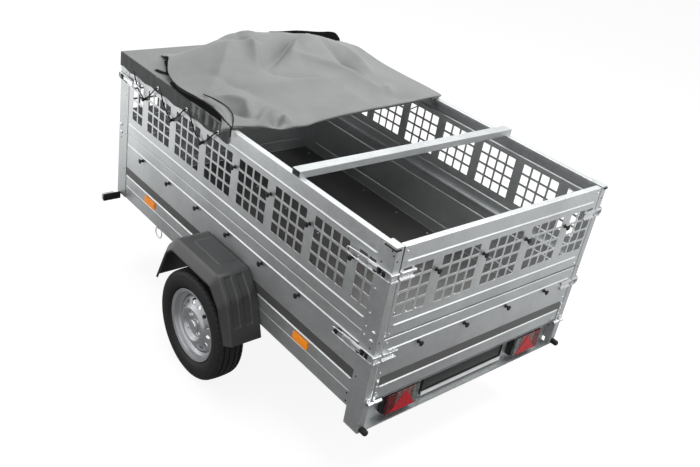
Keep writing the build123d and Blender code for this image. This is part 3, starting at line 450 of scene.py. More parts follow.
ridges = [(RIDGE_LOW, LOW_RIDGE_H), (RIDGE_1, RIDGE_H), (RIDGE_2, RIDGE_H)]
panel = panel_grid(panel_profile([(-SIDE_FLANGE, BOARD_BOTTOM), *BOARD], ridges), SIDE_ENDS, SIDE_FADE)
folded("pressed_side_board_left", "side_board_left", face_left, panel)
folded("pressed_side_board_right", "side_board_right", face_right, panel)
ridges = [(height, FRONT_RIDGE_H) for height in (RIDGE_LOW, RIDGE_1, RIDGE_2)]
panel = panel_grid(panel_profile([(-FLANGE, BOARD_BOTTOM), *BOARD], ridges), (-SKIN_X, SKIN_X), FRONT_FADE)
folded("pressed_front_board", "front_board", face_front, panel)
panel = panel_grid(panel_profile(GATE, [(RIDGE_1, RIDGE_H), (RIDGE_2, RIDGE_H)]), GATE_ENDS, GATE_FADE)
folded("pressed_tailgate", "tailgate_board", face_rear, panel, body="tailgate")


# Mesh upper sides, front and gate
# The same sheet, punched with 45 mm square holes in blocks of four by four between the pillars.
# Each hole has corners of 3 mm radius, and the top edge is rolled inwards to a rail.
HOLE = 45.0
HOLE_R = 3.0
HOLE_PITCH = 56.0
PILLAR_PITCH = 268.0
HOLE_ROWS = [1100.0 - HOLE_PITCH * n for n in range(4)]
BLOCK_START = 50.0
RAIL_W = 28.0
RAIL_LIP = 15.0
SIDE_FIRST = REAR + 207.0
MESH_GATE_BOTTOM = 814.0


def hole_lines(centres):
    """Grid lines at both edges of each hole and where its rounded corners begin."""
    half = HOLE / 2
    steps = (-half, -half + HOLE_R, half - HOLE_R, half)
    return sorted(centre + step for centre in centres for step in steps)


def punched(points, centres):
    """Cells to keep of a panel grid, with each hole left open but for its four corner cells, whose
    inner point moves out along the diagonal onto the corner's arc."""
    half = HOLE / 2
    inner = half - HOLE_R
    along = points[0, :, 1]
    up = points[:, 0, 2]
    middle_along = (along[:-1] + along[1:]) / 2
    middle_up = (up[:-1] + up[1:]) / 2
    points = points.copy()
    keep = np.ones((len(up) - 1, len(along) - 1), bool)
    for u in centres:
        for v in HOLE_ROWS:
            in_u = np.abs(middle_along - u) < half
            in_v = np.abs(middle_up - v) < half
            corner_u = in_u & (np.abs(middle_along - u) > inner)
            corner_v = in_v & (np.abs(middle_up - v) > inner)
            keep &= ~(in_v[:, None] & in_u[None, :]) | (corner_v[:, None] & corner_u[None, :])
            for side_u, side_v in ((-1, -1), (-1, 1), (1, -1), (1, 1)):
                column = np.argmin(np.abs(along - (u + side_u * inner)))
                row = np.argmin(np.abs(up - (v + side_v * inner)))
                points[row, column, 1:] += np.array([side_u, side_v]) * HOLE_R * math.sqrt(0.5)
    return points, keep


def hole_centres(first, pillars, at_ends):
    """Hole columns along a panel: four between each pair of pillars, and some at both ends."""
    last = first + PILLAR_PITCH * (pillars - 1)
    columns = [first - BLOCK_START - HOLE_PITCH * n for n in range(at_ends)]
    for block in range(pillars - 1):
        columns += [first + PILLAR_PITCH * block + BLOCK_START + HOLE_PITCH * n for n in range(4)]
    columns += [last + BLOCK_START + HOLE_PITCH * n for n in range(at_ends)]
    return sorted(columns)


def mesh_panel(bottom, ridge, ends, fade, centres):
    """Grid of a mesh panel, from the flange at its bottom to the rail, and the cells to keep."""
    corners = [(-FLANGE, bottom), (0, bottom), (0, TOP_Z), (-RAIL_W, TOP_Z), (-RAIL_W, TOP_Z - RAIL_LIP)]
    profile = panel_profile(corners, [(RIDGE_3, ridge), (RIDGE_4, ridge)], hole_lines(HOLE_ROWS))
    return punched(panel_grid(profile, ends, fade, hole_lines(centres)), centres)


side_columns = hole_centres(SIDE_FIRST, 7, 2)
end_columns = hole_centres(-1.5 * PILLAR_PITCH, 4, 3)
panel = mesh_panel(JOINT_Z + HALF_GAP, RIDGE_H, SIDE_ENDS, SIDE_FADE, side_columns)
folded("punched_side_left", "mesh_side_left", face_left, *panel)
folded("punched_side_right", "mesh_side_right", face_right, *panel)
front_ends = (-SKIN_X + RAIL_W, SKIN_X - RAIL_W)
panel = mesh_panel(JOINT_Z + HALF_GAP, FRONT_RIDGE_H, front_ends, FRONT_FADE, end_columns)
folded("punched_front", "mesh_front", face_front, *panel)
panel = mesh_panel(MESH_GATE_BOTTOM, RIDGE_H, GATE_ENDS, GATE_FADE, end_columns)
folded("punched_tailgate", "mesh_tailgate_panel", face_rear, *panel, body="mesh_tailgate")


# Corner posts
# Galvanised plate, 2 mm, folded round each corner. The rear pair is turned in again beside the
# gates and runs down below the sill as legs.
REAR_POST = [(-POST_X, 85.0), (-POST_X, 0.0), (-POST_X + 38.0, 0.0), (-POST_X + 38.0, 30.0)]
FRONT_POST = [(-POST_X + 40.0, 0.0), (-POST_X, 0.0), (-POST_X, -90.0)]
POST_BEND_R = 4.0
LEG_BOTTOM = 352.0


def upright(line, origin, bottom):
    """Folded plate standing from bottom to the top rail, on the left, from its plan outline."""
    plan = bent(line, POST_BEND_R)
    x = np.repeat(plan[None, :, 0], 2, axis=0)
    y = np.repeat(origin + plan[None, :, 1], 2, axis=0)
    z = np.repeat(np.array([[bottom], [TOP_Z]]), len(plan), axis=1)
    return grid(np.stack([x, y, z], axis=-1))


def handed(shape, sign, middle=(0.0, 0.0, 0.0)):
    """A shape whose X points outwards, for the side of the sign, moved to a middle point."""
    points, faces = shape
    return np.asarray(points) * (sign, 1, 1) + middle, faces if sign > 0 else [face[::-1] for face in faces]


def both(shapes):
    """Shapes of the left side, and the same ones on the right."""
    return list(shapes) + [handed(shape, -1) for shape in shapes]


posts = both([upright(REAR_POST, REAR, LEG_BOTTOM), upright(FRONT_POST, FRONT, BOARD_BOTTOM)])
piece("folded_corner_posts", posts, post_zinc, "corner_posts", thickness=POST_T)


# Wheels
# Tyre 155/70 R13 on a pressed steel wheel: rounded shoulders, four grooves round the tread with
# sipes across it, and a stepped silver rim whose disc has fourteen oval holes.
WHEEL_X = 741.0
AXLE_Y = -487.5
AXLE_Z = 270.0
TREAD_STEPS = 360
SHOULDER_CUT = 3.5
RIB_CUT = 2.5
DISC_HOLES = 14
HOLE_ROW = ((28.0, 127.0), (41.0, 100.0))
HOLE_HALF = (12.0, 10.5)
SECTOR = 16
DISC_T = 3.5
BOLT_CIRCLE_R = 50.0
VALVE_R = 150.0

tyre_rubber = solid("tyre_rubber", "#1d1d1e", 0.62, grain_mm=1.2, bump_mm=0.1, specular=0.35)
rim_paint = solid("silver_wheel_enamel", "#b4b6b9", 0.36, grain_mm=1.0, bump_mm=0.03, metallic=0.55)
bright_zinc = zinc("bright_zinc_plating", "#d4d6d8", 0.3, blotch=0.06, metallic=0.85)
black_plastic = solid("black_moulded_plastic", "#161617", 0.5, grain_mm=1.0, bump_mm=0.08)

# Half the tyre's section as (from the middle, radius): side wall, then tread with two grooves.
tyre_half = [(46.0, 168.0), (47.5, 176.0), (50.0, 182.0), (58.0, 186.0), (64.5, 192.0), (69.0, 202.0)]
tyre_half += [(71.6, 214.0), (72.0, 222.0), (71.4, 230.0), (70.4, 231.0), (70.2, 237.0), (68.6, 246.0)]
tyre_half += [(66.0, 254.0), (62.0, 260.5), (57.0, 264.5), (48.5, 267.2), (46.0, 267.4), (45.2, 261.5)]
tyre_half += [(39.2, 261.8), (38.4, 268.2), (28.0, 269.0), (18.5, 269.4), (17.7, 263.4), (11.7, 263.5)]
tyre_half += [(10.9, 269.7), (0.0, 270.0)]
# Rim section, likewise, from the inner lip over the well to the outer lip and back inside.
barrel = [(-56.0, 176.0), (-56.0, 179.0), (-52.5, 178.0), (-49.5, 167.0), (-30.0, 163.5), (-14.0, 146.0)]
barrel += [(12.0, 146.0), (24.0, 160.0), (33.0, 163.5), (49.5, 167.0), (52.0, 171.0), (53.0, 177.0)]
barrel += [(54.5, 179.0), (56.2, 178.8), (57.0, 177.0), (56.2, 174.5), (53.5, 168.0), (51.5, 163.0)]
barrel += [(46.0, 161.0), (34.0, 159.0), (29.0, 156.5), (26.0, 152.0), (20.0, 143.5), (8.0, 142.0)]
barrel += [(-14.0, 142.5), (-32.0, 159.5), (-50.0, 163.0), (-53.5, 176.0), (-56.0, 176.0)]
# Disc section as (outwards from the middle, radius), from its root in the well to its centre.
dish = [(8.0, 141.5), (16.0, 139.5), (23.0, 134.0), (28.0, 127.0), (41.0, 100.0), (49.0, 93.5)]
dish += [(54.0, 88.5), (55.5, 83.0), (54.5, 78.0), (50.0, 72.0), (42.0, 66.5), (37.0, 62.0)]
dish += [(34.3, 57.5), (34.0, 50.0), (34.0, 38.0), (36.0, 33.0), (36.0, 30.5), (33.0, 29.5)]


def turned(profile, centre, axis, steps=64):
    """Surface of revolution from (along, radius) points about an axis through a centre. A profile
    that runs towards the axis's positive end has its outside away from the axis."""
    profile = np.asarray(profile, float)
    angle = np.linspace(0, 2 * math.pi, steps, endpoint=False)
    along = np.repeat(profile[:, :1], steps, axis=1)
    across = profile[:, 1:] * np.cos(angle)
    up = profile[:, 1:] * np.sin(angle)
    order = {"x": (along, across, up), "y": (up, along, across), "z": (across, up, along)}[axis]
    return grid(np.stack(order, axis=-1) + np.array(centre, float), around=True)


def tread():
    """Tyre surface: its section turned about X, with cuts across the shoulders at every sixth
    step of the circle and cuts across the ribs at every fifth, each pressed in from the radius."""
    outer = np.array(tyre_half)
    section = np.vstack([outer * (-1, 1), outer[::-1][1:]])
    angle = np.linspace(0, 2 * math.pi, TREAD_STEPS, endpoint=False)
    width = np.abs(section[:, :1])
    step = np.arange(TREAD_STEPS)[None, :]
    shoulder = (width > 44) & (section[:, 1:] > 254) & (step % 6 == 0)
    ribs = (width > 18) & (width < 39.5) & (section[:, 1:] > 265) & (step % 5 == 2)
    radius = section[:, 1:] - SHOULDER_CUT * shoulder - RIB_CUT * ribs
    along = np.repeat(section[:, :1], TREAD_STEPS, axis=1)
    return grid(np.stack([along, radius * np.cos(angle), radius * np.sin(angle)], axis=-1), around=True)


def holed_disc():
    """Disc with its ring of holes. The sloping part between the two radii of HOLE_ROW is a finer
    grid: a cell whose centre lies within a hole's ellipse is left out, and every point near the
    ellipse's edge is pushed radially onto it."""
    near, far = np.array(HOLE_ROW)
    rows = [near + (far - near) * share for share in np.linspace(0, 1, 13)]
    start = [p for p in dish if p[1] > near[1]]
    end = [p for p in dish if p[1] < far[1]]
    profile = np.array(start + [tuple(row) for row in rows] + end)
    count = DISC_HOLES * SECTOR
    angle = np.linspace(0, 2 * math.pi, count, endpoint=False)
    along = np.repeat(profile[:, :1], count, axis=1)
    radius = np.repeat(profile[:, 1:], count, axis=1)
    angle = np.repeat(angle[None, :], len(profile), axis=0)
    middle = (near[1] + far[1]) / 2
    slope = np.linalg.norm(far - near) / (near[1] - far[1])
    sector = 2 * math.pi / DISC_HOLES
    turn = (angle + sector / 2) % sector - sector / 2
    u = turn * middle
    v = (radius - middle) * slope
    size = np.hypot(u / HOLE_HALF[1], v / HOLE_HALF[0])
    edge = (size > 0.55) & (size < 1.25)
    u = np.where(edge, u / np.maximum(size, 0.01), u)
    v = np.where(edge, v / np.maximum(size, 0.01), v)
    zone = np.zeros(len(profile), bool)
    zone[len(start) : len(start) + len(rows)] = True
    moved = zone[:, None] & edge
    radius = np.where(moved, middle + v / slope, radius)
    fall = (far[0] - near[0]) / (far[1] - near[1])
    along = np.where(moved, near[0] + (radius - near[1]) * fall, along)
    angle = np.where(moved, angle - turn + u / middle, angle)
    size = np.where(moved, 1.0, size)
    wrapped = np.hstack([size, size[:, :1]])
    cell = (wrapped[:-1, :-1] + wrapped[:-1, 1:] + wrapped[1:, 1:] + wrapped[1:, :-1]) / 4
    open_cell = (cell < 0.999) & zone[:-1, None] & zone[1:, None]
    points = np.stack([along, radius * np.cos(angle), radius * np.sin(angle)], axis=-1)
    return grid(points, keep=~open_cell, around=True)


# Hub, nuts and valve as (outwards from the middle, radius). A nut has six sides and a small cone.
NUT = [(34.0, 10.0), (44.0, 10.0), (46.0, 8.0), (46.0, 0.01)]
NUT_SEAT = [(34.0, 12.5), (36.5, 11.0), (37.0, 9.0)]
CAP = [(30.0, 29.0), (48.0, 28.5), (52.5, 26.0), (54.5, 21.0), (55.0, 12.0), (55.2, 0.01)]
HUB_FLANGE = [(-46.0, 38.0), (20.0, 38.0), (20.0, 62.0), (30.0, 62.0), (30.0, 20.0)]
VALVE = [(24.0, 6.5), (36.0, 6.0), (50.0, 4.5), (58.0, 4.0), (60.0, 0.01)]

CENTRE = (0.0, 0.0, 0.0)
nuts = []
for turn in np.radians((45, 135, 225, 315)):
    place = (0.0, BOLT_CIRCLE_R * math.cos(turn), BOLT_CIRCLE_R * math.sin(turn))
    nuts += [turned(NUT, place, "x", 6), turned(NUT_SEAT, place, "x", 20)]
nuts += [turned(CAP, CENTRE, "x", 40), turned(HUB_FLANGE, CENTRE, "x", 40)]
stem = turned(VALVE, (0.0, 0.0, VALVE_R), "x", 16)
# name after the side, shapes, material, slot, node before the side, wall, smoothing angle
WHEEL_PIECES = (
    ("tyre_{}_tread", [tread()], tyre_rubber, "tyre", "tyre_", 0.0, 40),
    ("rim_{}_barrel", [turned(barrel, CENTRE, "x", 96)], rim_paint, "rim_silver", "rim_", 0.0, 35),
    ("rim_{}_disc", [holed_disc()], rim_paint, "rim_silver", None, DISC_T, 35),
    ("hub_{}_nuts", nuts, bright_zinc, "hub_steel", "hub_", 0.0, 35),
    ("valve_{}", [stem], black_plastic, "black_rubber", None, 0.0, 30),
)
for side, sign in (("left", -1), ("right", 1)):
    middle = (sign * WHEEL_X, AXLE_Y, AXLE_Z)
    for name, shapes, material, slot, node, wall, smooth in WHEEL_PIECES:
        placed = [handed(shape, sign, middle) for shape in shapes]
        node = node + side if node else None
        piece(name.format(side), placed, material, node, "wheel_" + side, wall, smooth=smooth)


# Mudguards
# Moulded black plastic, 4 mm: flat on top, with angled ends, a soft outer edge that slopes to a
# lip, two grooves over the rear shoulder and a raised pad on top. The surface runs from the body
# outwards for each place along the guard.
GUARD_IN = 647.4
GUARD_TOP_X = (792.0, 796.0, 800.0)
GUARD_CORNER_X = (800.0, 805.0, 808.5)
GUARD_OUT = 807.5
GUARD_LIP = 829.0
GUARD_CROWN = [(-343, 380), (-272, 575), (-190, 662), (163, 662), (232, 588), (303, 385)]
GUARD_LOW = [(-319, 380), (-248, 530), (-168, 607), (165, 607), (215, 563), (286, 386)]
CROWN_R = 19.0
LOW_R = 15.0
CORNER_FALL = 0.18
GROOVES = ((745.0, 783.0), (684.0, 722.0))
GROOVE_RUN = (0.38, 1.88)
GROOVE_DEEP = 5.0
PAD_Y = (-113.0, 100.0)
PAD_X = (661.0, 753.0)
PAD_HIGH = 3.5

guard_plastic = solid("mudguard_plastic", "#29292a", 0.42, grain_mm=1.4, bump_mm=0.2, specular=0.75)


def along_line(corners, radius, shares):
    """Points at the given shares of each leg of a line with rounded corners. The shares count
    legs, so that two lines with as many corners keep step with each other."""
    corners = np.array(corners, float)
    line = []
    for share in shares:
        leg = min(int(share), len(corners) - 2)
        point = corners[leg] + (corners[leg + 1] - corners[leg]) * (share - leg)
        for n in range(1, len(corners) - 1):
            before = np.linalg.norm(corners[n] - corners[n - 1])
            after = np.linalg.norm(corners[n + 1] - corners[n])
            lead = share - n
            reach = radius / (before if lead < 0 else after)
            if abs(lead) < reach:
                start = corners[n] + (corners[n - 1] - corners[n]) * radius / before
                end = corners[n] + (corners[n + 1] - corners[n]) * radius / after
                t = 0.5 + lead / reach / 2
                point = start * (1 - t) ** 2 + corners[n] * 2 * t * (1 - t) + end * t**2
        line.append(point)
    return np.array(line)


def smooth_step(value, start, end):
    """0 before start, 1 after end, and 3 t squared less 2 t cubed between them."""
    t = np.clip((value - start) / (end - start), 0, 1)
    return t * t * (3 - 2 * t)


def between(value, limits, before, after):
    """1 between two limits and 0 beyond them, with a smooth step at each. Before and after give how
    far below and above its limit each step starts and ends."""
    rise = smooth_step(value, limits[0] - before[0], limits[0] + before[1])
    return rise * (1 - smooth_step(value, limits[1] - after[0], limits[1] + after[1]))


shares = np.linspace(0, len(GUARD_CROWN) - 1, 241)
crown = along_line(GUARD_CROWN, CROWN_R, shares) + (AXLE_Y, 0)
low = along_line(GUARD_LOW, LOW_R, shares) + (AXLE_Y, 0)
slope = np.gradient(crown, axis=0)
slope /= np.linalg.norm(slope, axis=1)[:, None]
outward = np.stack([-slope[:, 1], slope[:, 0]], axis=-1)

# rows of the surface: place across, and how far it has fallen from the crown line to the low line
rows = [(x, 0.0) for x in (*np.linspace(GUARD_IN, GUARD_TOP_X[0], 59), *GUARD_TOP_X[1:])]
for t in (0.15, 0.3, 0.45, 0.6, 0.75, 0.9):
    rows.append((np.dot(((1 - t) ** 2, 2 * t * (1 - t), t**2), GUARD_CORNER_X), t**2 * CORNER_FALL))
for share in np.linspace(0.2, 1.0, 9):
    rows.append((GUARD_OUT + (GUARD_LIP - GUARD_OUT) * (share - 0.1) / 0.9, share))
rows = [np.column_stack([np.full(len(shares), x), crown + (low - crown) * fall]) for x, fall in rows]
for x, depth in ((GUARD_LIP + 0.8, 3.0), (GUARD_LIP - 2.5, 11.0)):
    rows.append(np.column_stack([np.full(len(shares), x), low - outward * depth]))
guard = np.stack(rows)

across = guard[..., 0]
run = between(shares, GROOVE_RUN, (0.03, 0.03), (0.06, 0.04))
groove = np.max([between(across, limits, (1, 4), (4, 1)) for limits in GROOVES], axis=0) * run
pad = between(crown[:, 0] - AXLE_Y, PAD_Y, (3, 3), (3, 3)) * between(across, PAD_X, (3, 3), (3, 3))
guard[..., 1:] += (PAD_HIGH * pad - GROOVE_DEEP * groove)[..., None] * outward
inner_edge = np.column_stack([np.full(len(shares), GUARD_IN), crown - outward * 28.0])
guard = grid(np.concatenate([inner_edge[None], guard]), flip=True)
for side, sign in (("left", -1), ("right", 1)):
    shell = [handed(guard, sign)]
    name = "mudguard_" + side
    piece(name + "_shell", shell, guard_plastic, name, thickness=3.5, smooth=35)


# Cover
# Grey coated fabric, one sheet cut to cover the whole box. Its front half lies flat
# on the rails, with an apron and two skirts over the sides, and from the fold at its rear the
# other half is thrown forward on top, in loose folds, with its side margins turned under.
SKIRT = 72.0
TOP_HALF = 646.0
COVER_X = 648.5
COVER_Z = 1222.6
COVER_T = 1.2
FOLD_Y = -427.0
APRON_Y = FRONT + 3.4

# Upper layer from the fold forward. One row per cross line of the sheet: place along the trailer,
# left and right edge, height at the left edge, at the quarter, the middle, the three quarters and
# the right edge.
UPPER = (
    (-427.0, -648.0, 646.0, 1230.0, 1182.0, 1202.0, 1214.0, 1229.0),
    (-440.0, -650.0, 646.0, 1238.0, 1191.0, 1211.0, 1223.0, 1236.0),
    (-420.0, -650.0, 646.0, 1246.0, 1203.0, 1222.0, 1232.0, 1241.0),
    (-300.0, -636.0, 646.0, 1256.0, 1238.0, 1246.0, 1248.0, 1243.0),
    (-160.0, -638.0, 646.0, 1256.0, 1272.0, 1280.0, 1272.0, 1242.0),
    (20.0, -640.0, 644.0, 1246.0, 1304.0, 1322.0, 1302.0, 1246.0),
    (150.0, -618.0, 644.0, 1256.0, 1332.0, 1357.0, 1332.0, 1258.0),
    (240.0, -574.0, 640.0, 1270.0, 1350.0, 1371.0, 1343.0, 1268.0),
    (310.0, -530.0, 630.0, 1272.0, 1342.0, 1364.0, 1336.0, 1264.0),
    (370.0, -506.0, 620.0, 1258.0, 1306.0, 1326.0, 1310.0, 1258.0),
    (425.0, -492.0, 612.0, 1238.0, 1256.0, 1268.0, 1266.0, 1246.0),
    (462.0, -488.0, 606.0, 1229.0, 1232.0, 1236.0, 1238.0, 1240.0),
)
# Creases in the upper layer as seen in plan: the line's points, height and width.
CREASES = (
    (((235, 290), (130, 210), (-60, 80), (-190, -20)), -23.0, 34.0),
    (((290, 250), (110, 150), (20, 60)), 14.0, 26.0),
    (((-110, 260), (-160, 120), (-215, 0)), 15.0, 32.0),
    (((40, 70), (200, -107), (330, -300)), 15.0, 30.0),
    (((350, 200), (346, 30), (292, -176)), -20.0, 34.0),
    (((470, 190), (440, 0), (400, -150)), 11.0, 34.0),
    (((-190, -20), (-164, -75), (-80, -120), (40, -150)), -7.0, 18.0),
    (((402, -272), (340, -380)), 9.0, 24.0),
    (((340, -385), (500, -387)), -9.0, 26.0),
    (((-560, -120), (-340, -156), (145, -181), (400, -190)), 7.0, 46.0),
    (((-235, 350), (-120, 372), (-40, 300)), 13.0, 40.0),
    (((-230, 285), (-150, 275), (-90, 200)), -13.0, 30.0),
    (((-210, 270), (-380, 60), (-560, -110)), 10.0, 44.0),
    (((-560, -190), (-480, -290), (-505, -372)), 17.0, 24.0),
    (((-600, -250), (-535, -330), (-490, -390)), -15.0, 24.0),
    (((-500, -432), (-395, -352), (-330, -330)), 15.0, 24.0),
    (((-430, -436), (-360, -395)), -13.0, 22.0),
    (((-352, -436), (-320, -380)), 13.0, 20.0),
    (((-470, 40), (-420, -110), (-330, -260)), -7.0, 34.0),
    (((120, -250), (160, -430)), 5.0, 40.0),
)


def spline(table, places):
    """Catmull-Rom curve through the rows of a table, at places counted in rows."""
    table = np.asarray(table, float)
    last = len(table) - 1
    row = np.clip(np.floor(places).astype(int), 0, last - 1)
    t = (places - row)[:, None]
    before, a, b, after = (table[np.clip(row + k, 0, last)] for k in (-1, 0, 1, 2))
    curve = 2 * a + (b - before) * t
    curve += (2 * before - 5 * a + 4 * b - after) * t**2
    curve += (3 * a - before - 3 * b + after) * t**3
    return curve / 2


def crease_height(x, y, crease):
    """Height of a crease over plan places: 2.6 times its height and e to the minus (distance from its
    line over its width) to the power 1.4, and less towards both ends of the line."""
    line, height, width = crease
    line = np.array(line, float)
    runs = np.diff(line, axis=0)
    lengths = np.hypot(*runs.T)
    before = np.concatenate([[0.0], np.cumsum(lengths)])
    nearest = np.full(x.shape, 1e9)
    travelled = np.zeros(x.shape)
    for start, run, length, passed in zip(line, runs, lengths, before):
        share = np.clip(((x - start[0]) * run[0] + (y - start[1]) * run[1]) / length**2, 0, 1)
        gap = np.hypot(x - start[0] - share * run[0], y - start[1] - share * run[1])
        travelled = np.where(gap < nearest, passed + share * length, travelled)
        nearest = np.minimum(gap, nearest)
    fade = np.sin(np.pi * (0.08 + 0.84 * travelled / before[-1]))
    return 2.6 * height * fade * np.exp(-((nearest / width) ** 1.4))


def sag(x, y):
    """How far the sheet hangs between the rails: most at the fold, nothing by the mound."""
    across = np.clip(1 - (x / TOP_HALF) ** 2, 0, 1) ** 0.8
    deep = 20.0 + 34.0 * np.exp(-(((x + 340.0) / 230.0) ** 2))
    return deep * across * np.clip((260.0 - y) / 690.0, 0, 1) ** 1.5


def layer(*coordinates):
    """A row of points of the cloth from its x, y and z, each a row of numbers or one number."""
    return np.stack(np.broadcast_arrays(*coordinates), axis=-1)


fabric_grey = solid("coated_fabric_grey", "#7d7f7e", 0.55, grain_mm=1.6, bump_mm=0.14, specular=0.35)
# Painted shade: the skirts and the apron hang away from the light, so they take a darker grey of the same
# fabric.
skirt_painted_shade = solid("coated_fabric_skirt_painted_shade", "#464848", 0.6, grain_mm=1.6, bump_mm=0.14, specular=0.25)
# Black for the two tapes. On the flap and in the margin's pocket the same black is painted shade.
black_tape_and_painted_shade = solid("black_tape_fabric_and_painted_shade", "#0e0e0f", 0.8, grain_mm=1.6, bump_mm=0.14, specular=0.08)

margin = TOP_HALF + SKIRT * np.array([0.08, 0.2, 0.4, 0.6, 0.8, 1.0])
flat_u = np.concatenate([-margin[::-1], np.linspace(-TOP_HALF, TOP_HALF, 151), margin])
over = np.clip(np.abs(flat_u) - TOP_HALF, 0, None)
tuck = over / SKIRT
side = np.sign(flat_u)

rows = []
x = np.clip(flat_u, -COVER_X, COVER_X)
for drop in (SKIRT, 60.0, 46.0, 30.0, 14.0, 6.0):
    rows.append(layer(x, APRON_Y + 1.3 * np.sin(flat_u / 37.0) * drop / SKIRT, COVER_Z - drop))
rows.append(layer(x, FRONT + 2.0, COVER_Z - 1.2))
apron_rows = len(rows)
for y in np.linspace(FRONT - 2.0, FOLD_Y, 104):
    loose = np.clip((-60.0 - y) / 120.0, 0, 1) * np.clip((y + 420.0) / 60.0, 0, 1)
    wave = np.sin(y / 17.0 + 1.7 * np.sin(y / 41.0)) + 0.6 * np.sin(y / 9.0)
    pucker = (0.7 + 3.4 * loose * (side < 0)) * wave * np.sin(np.pi * np.clip(tuck, 0, 1) ** 0.7)
    x = np.where(over > 0, side * (COVER_X + 1.0 + pucker), flat_u)
    hang = over + 4.0 * np.sin(y / 23.0) * tuck + np.where(over > 0, 0, sag(flat_u, y))
    rows.append(layer(x, y, COVER_Z - hang))
lower_rows = len(rows)

share_u = np.clip((flat_u + TOP_HALF) / (2 * TOP_HALF), 0, 1)
for line in spline(UPPER, np.linspace(0, len(UPPER) - 1, 141)[1:]):
    y0, left, right = line[:3]
    x = left + (right - left) * share_u
    lead = np.clip((y0 - FOLD_Y) / 120.0, 0, 1)
    bow = -16.0 * np.exp(-(((x + 385) / 55.0) ** 2)) - 10.0 * np.exp(-(((x + 240) / 45.0) ** 2))
    z = spline(line[3:, None], share_u * 4)[:, 0] - 14.0 * tuck**0.5
    x = x - side * over * 0.9 * np.clip(tuck * 3, 0, 1)
    rows.append(layer(x, y0 + bow * (1 - lead), z))
cloth = np.stack(rows)
top = cloth[lower_rows:]
relief = sum(crease_height(top[..., 0], top[..., 1], crease) for crease in CREASES)
floor_z = COVER_Z - sag(top[..., 0], top[..., 1])
top[..., 2] += relief * np.clip((top[..., 2] - floor_z - 6.0) / 16.0, 0, 1)

keep = np.ones((len(cloth) - 1, len(flat_u) - 1), bool)
keep[:apron_rows] &= np.abs(flat_u[:-1] + flat_u[1:]) / 2 <= TOP_HALF + 0.5

cloth = [grid(cloth, keep, flip=True)]
cover = piece("laced_cover", cloth, fabric_grey, "cover", thickness=COVER_T, smooth=70)
# Painted shade: cells of the skirts and the apron get the darker grey.
cover.data.materials.append(skirt_painted_shade)
for cell in cover.data.polygons:
    if abs(cell.center.x) > 0.6475 or cell.center.y > (FRONT + 2.5) / 1000:
        cell.material_index = 1

# Front skirt of the upper layer, which stands up behind the mound. Its inside is painted black as
# shade. Its upper edge as (across, height).
FLAP = ((120.0, 1337.0), (228.0, 1334.0), (354.0, 1327.0), (470.0, 1316.0), (585.0, 1303.0), (632.0, 1262.0))
# Painted shade: a black sheet in the shadowed pocket under the turned margin along the left edge.
# Along, across, lower and upper height.
MARGIN_SHADE = (
    (90.0, -645.0, 1232.0, 1243.0),
    (0.0, -649.0, 1226.0, 1246.0),
    (-110.0, -648.0, 1225.0, 1252.0),
    (-200.0, -644.0, 1225.0, 1257.0),
    (-300.0, -642.0, 1225.0, 1256.0),
    (-400.0, -650.0, 1226.0, 1243.0),
)
# The margin's grey hem by the fold, and the middle lines of two tapes.
HEM = (
    (-600.0, -196.0, 1266.0),
    (-588.0, -262.0, 1262.0),
    (-596.0, -338.0, 1256.0),
    (-626.0, -400.0, 1247.0),
    (-653.0, -438.0, 1233.0),
    (-655.0, -436.0, 1214.0),
)
TAPES = (
    ((-508.0, 372.0, 1231.0), (-545.0, 290.0, 1231.5), (-580.0, 222.0, 1231.0)),
    ((-612.0, 286.0, 1226.0), (-598.0, 240.0, 1228.0), (-575.0, 214.0, 1230.0)),
)


def traced(table, count):
    """Points along the curve through a table, as many as the count."""
    return spline(table, np.linspace(0, len(table) - 1, count))


across, height = traced(FLAP, 41).T
ripple = 5.0 * np.sin(across / 40.0)
flap = [layer(across, 398.0 - 10.0 * s + ripple * (1 - s), height - 66.0 * s) for s in np.linspace(0, 1, 9)]
flap = piece("cover_flap", [grid(np.stack(flap))], black_tape_and_painted_shade, thickness=COVER_T, smooth=70)
y, across, low, high = traced(MARGIN_SHADE, 61).T
margin_shade = [layer(across + 10.0 * s**2, y, low + (high - low) * s) for s in np.linspace(0, 1, 5)]
margin_shade = [grid(np.stack(margin_shade), flip=True)]
margin_shade = piece("cover_margin_painted_shade", margin_shade, black_tape_and_painted_shade, thickness=1.0, smooth=70)
hem = traced(HEM, 61)
hem = [hem + (-38.0 * s, 12.0 * s, 5.0 * math.sin(math.pi * s) - 6.0 * s) for s in np.linspace(0, 1, 7)]
hem = [grid(np.stack(hem))]
hem_band = piece("cover_hem_band", hem, fabric_grey, thickness=COVER_T, smooth=70)
tapes = []
for tape in TAPES:
    run = traced(tape, 17)
    slope = np.gradient(run, axis=0)
    slope /= np.linalg.norm(slope, axis=1)[:, None]
    beside = np.column_stack([-slope[:, 1], slope[:, 0], 0 * slope[:, 0]])
    tapes.append(grid(np.stack([run + beside * offset for offset in (-10.0, 0.0, 10.0)]), flip=True))
tapes = piece("cover_tapes", tapes, black_tape_and_painted_shade, thickness=2.0, smooth=70)


# Stripes
# Bare bands of dark grey film along both sides and the tailgate, above the lowest ridge.
STRIPE_Z = (574.5, 619.0)
FILM_T = 0.25
FILM_GAP = 0.02

stripe_film = solid("dark_grey_vinyl_film", "#5b5b5a", 0.4, grain_mm=2.0, bump_mm=0.02, specular=0.4)


def block(x0, x1, y0, y1, z0, z1):
    """Box between two corners given axis by axis, with its faces outward."""
    points = [(x, y, z) for x in (x0, x1) for y in (y0, y1) for z in (z0, z1)]
    faces = [[0, 1, 3, 2], [4, 6, 7, 5], [0, 4, 5, 1], [2, 3, 7, 6], [0, 2, 6, 4], [1, 5, 7, 3]]
    return np.array(points, float), faces


def blocks(table, height=0.0, start=REAR):
    """Boxes from rows of x0, x1, y0, y1, z0, z1, with y from a start and z from a height."""
    return [
        block(x0, x1, start + y0, start + y1, height + z0, height + z1)
        for x0, x1, y0, y1, z0, z1 in table
    ]


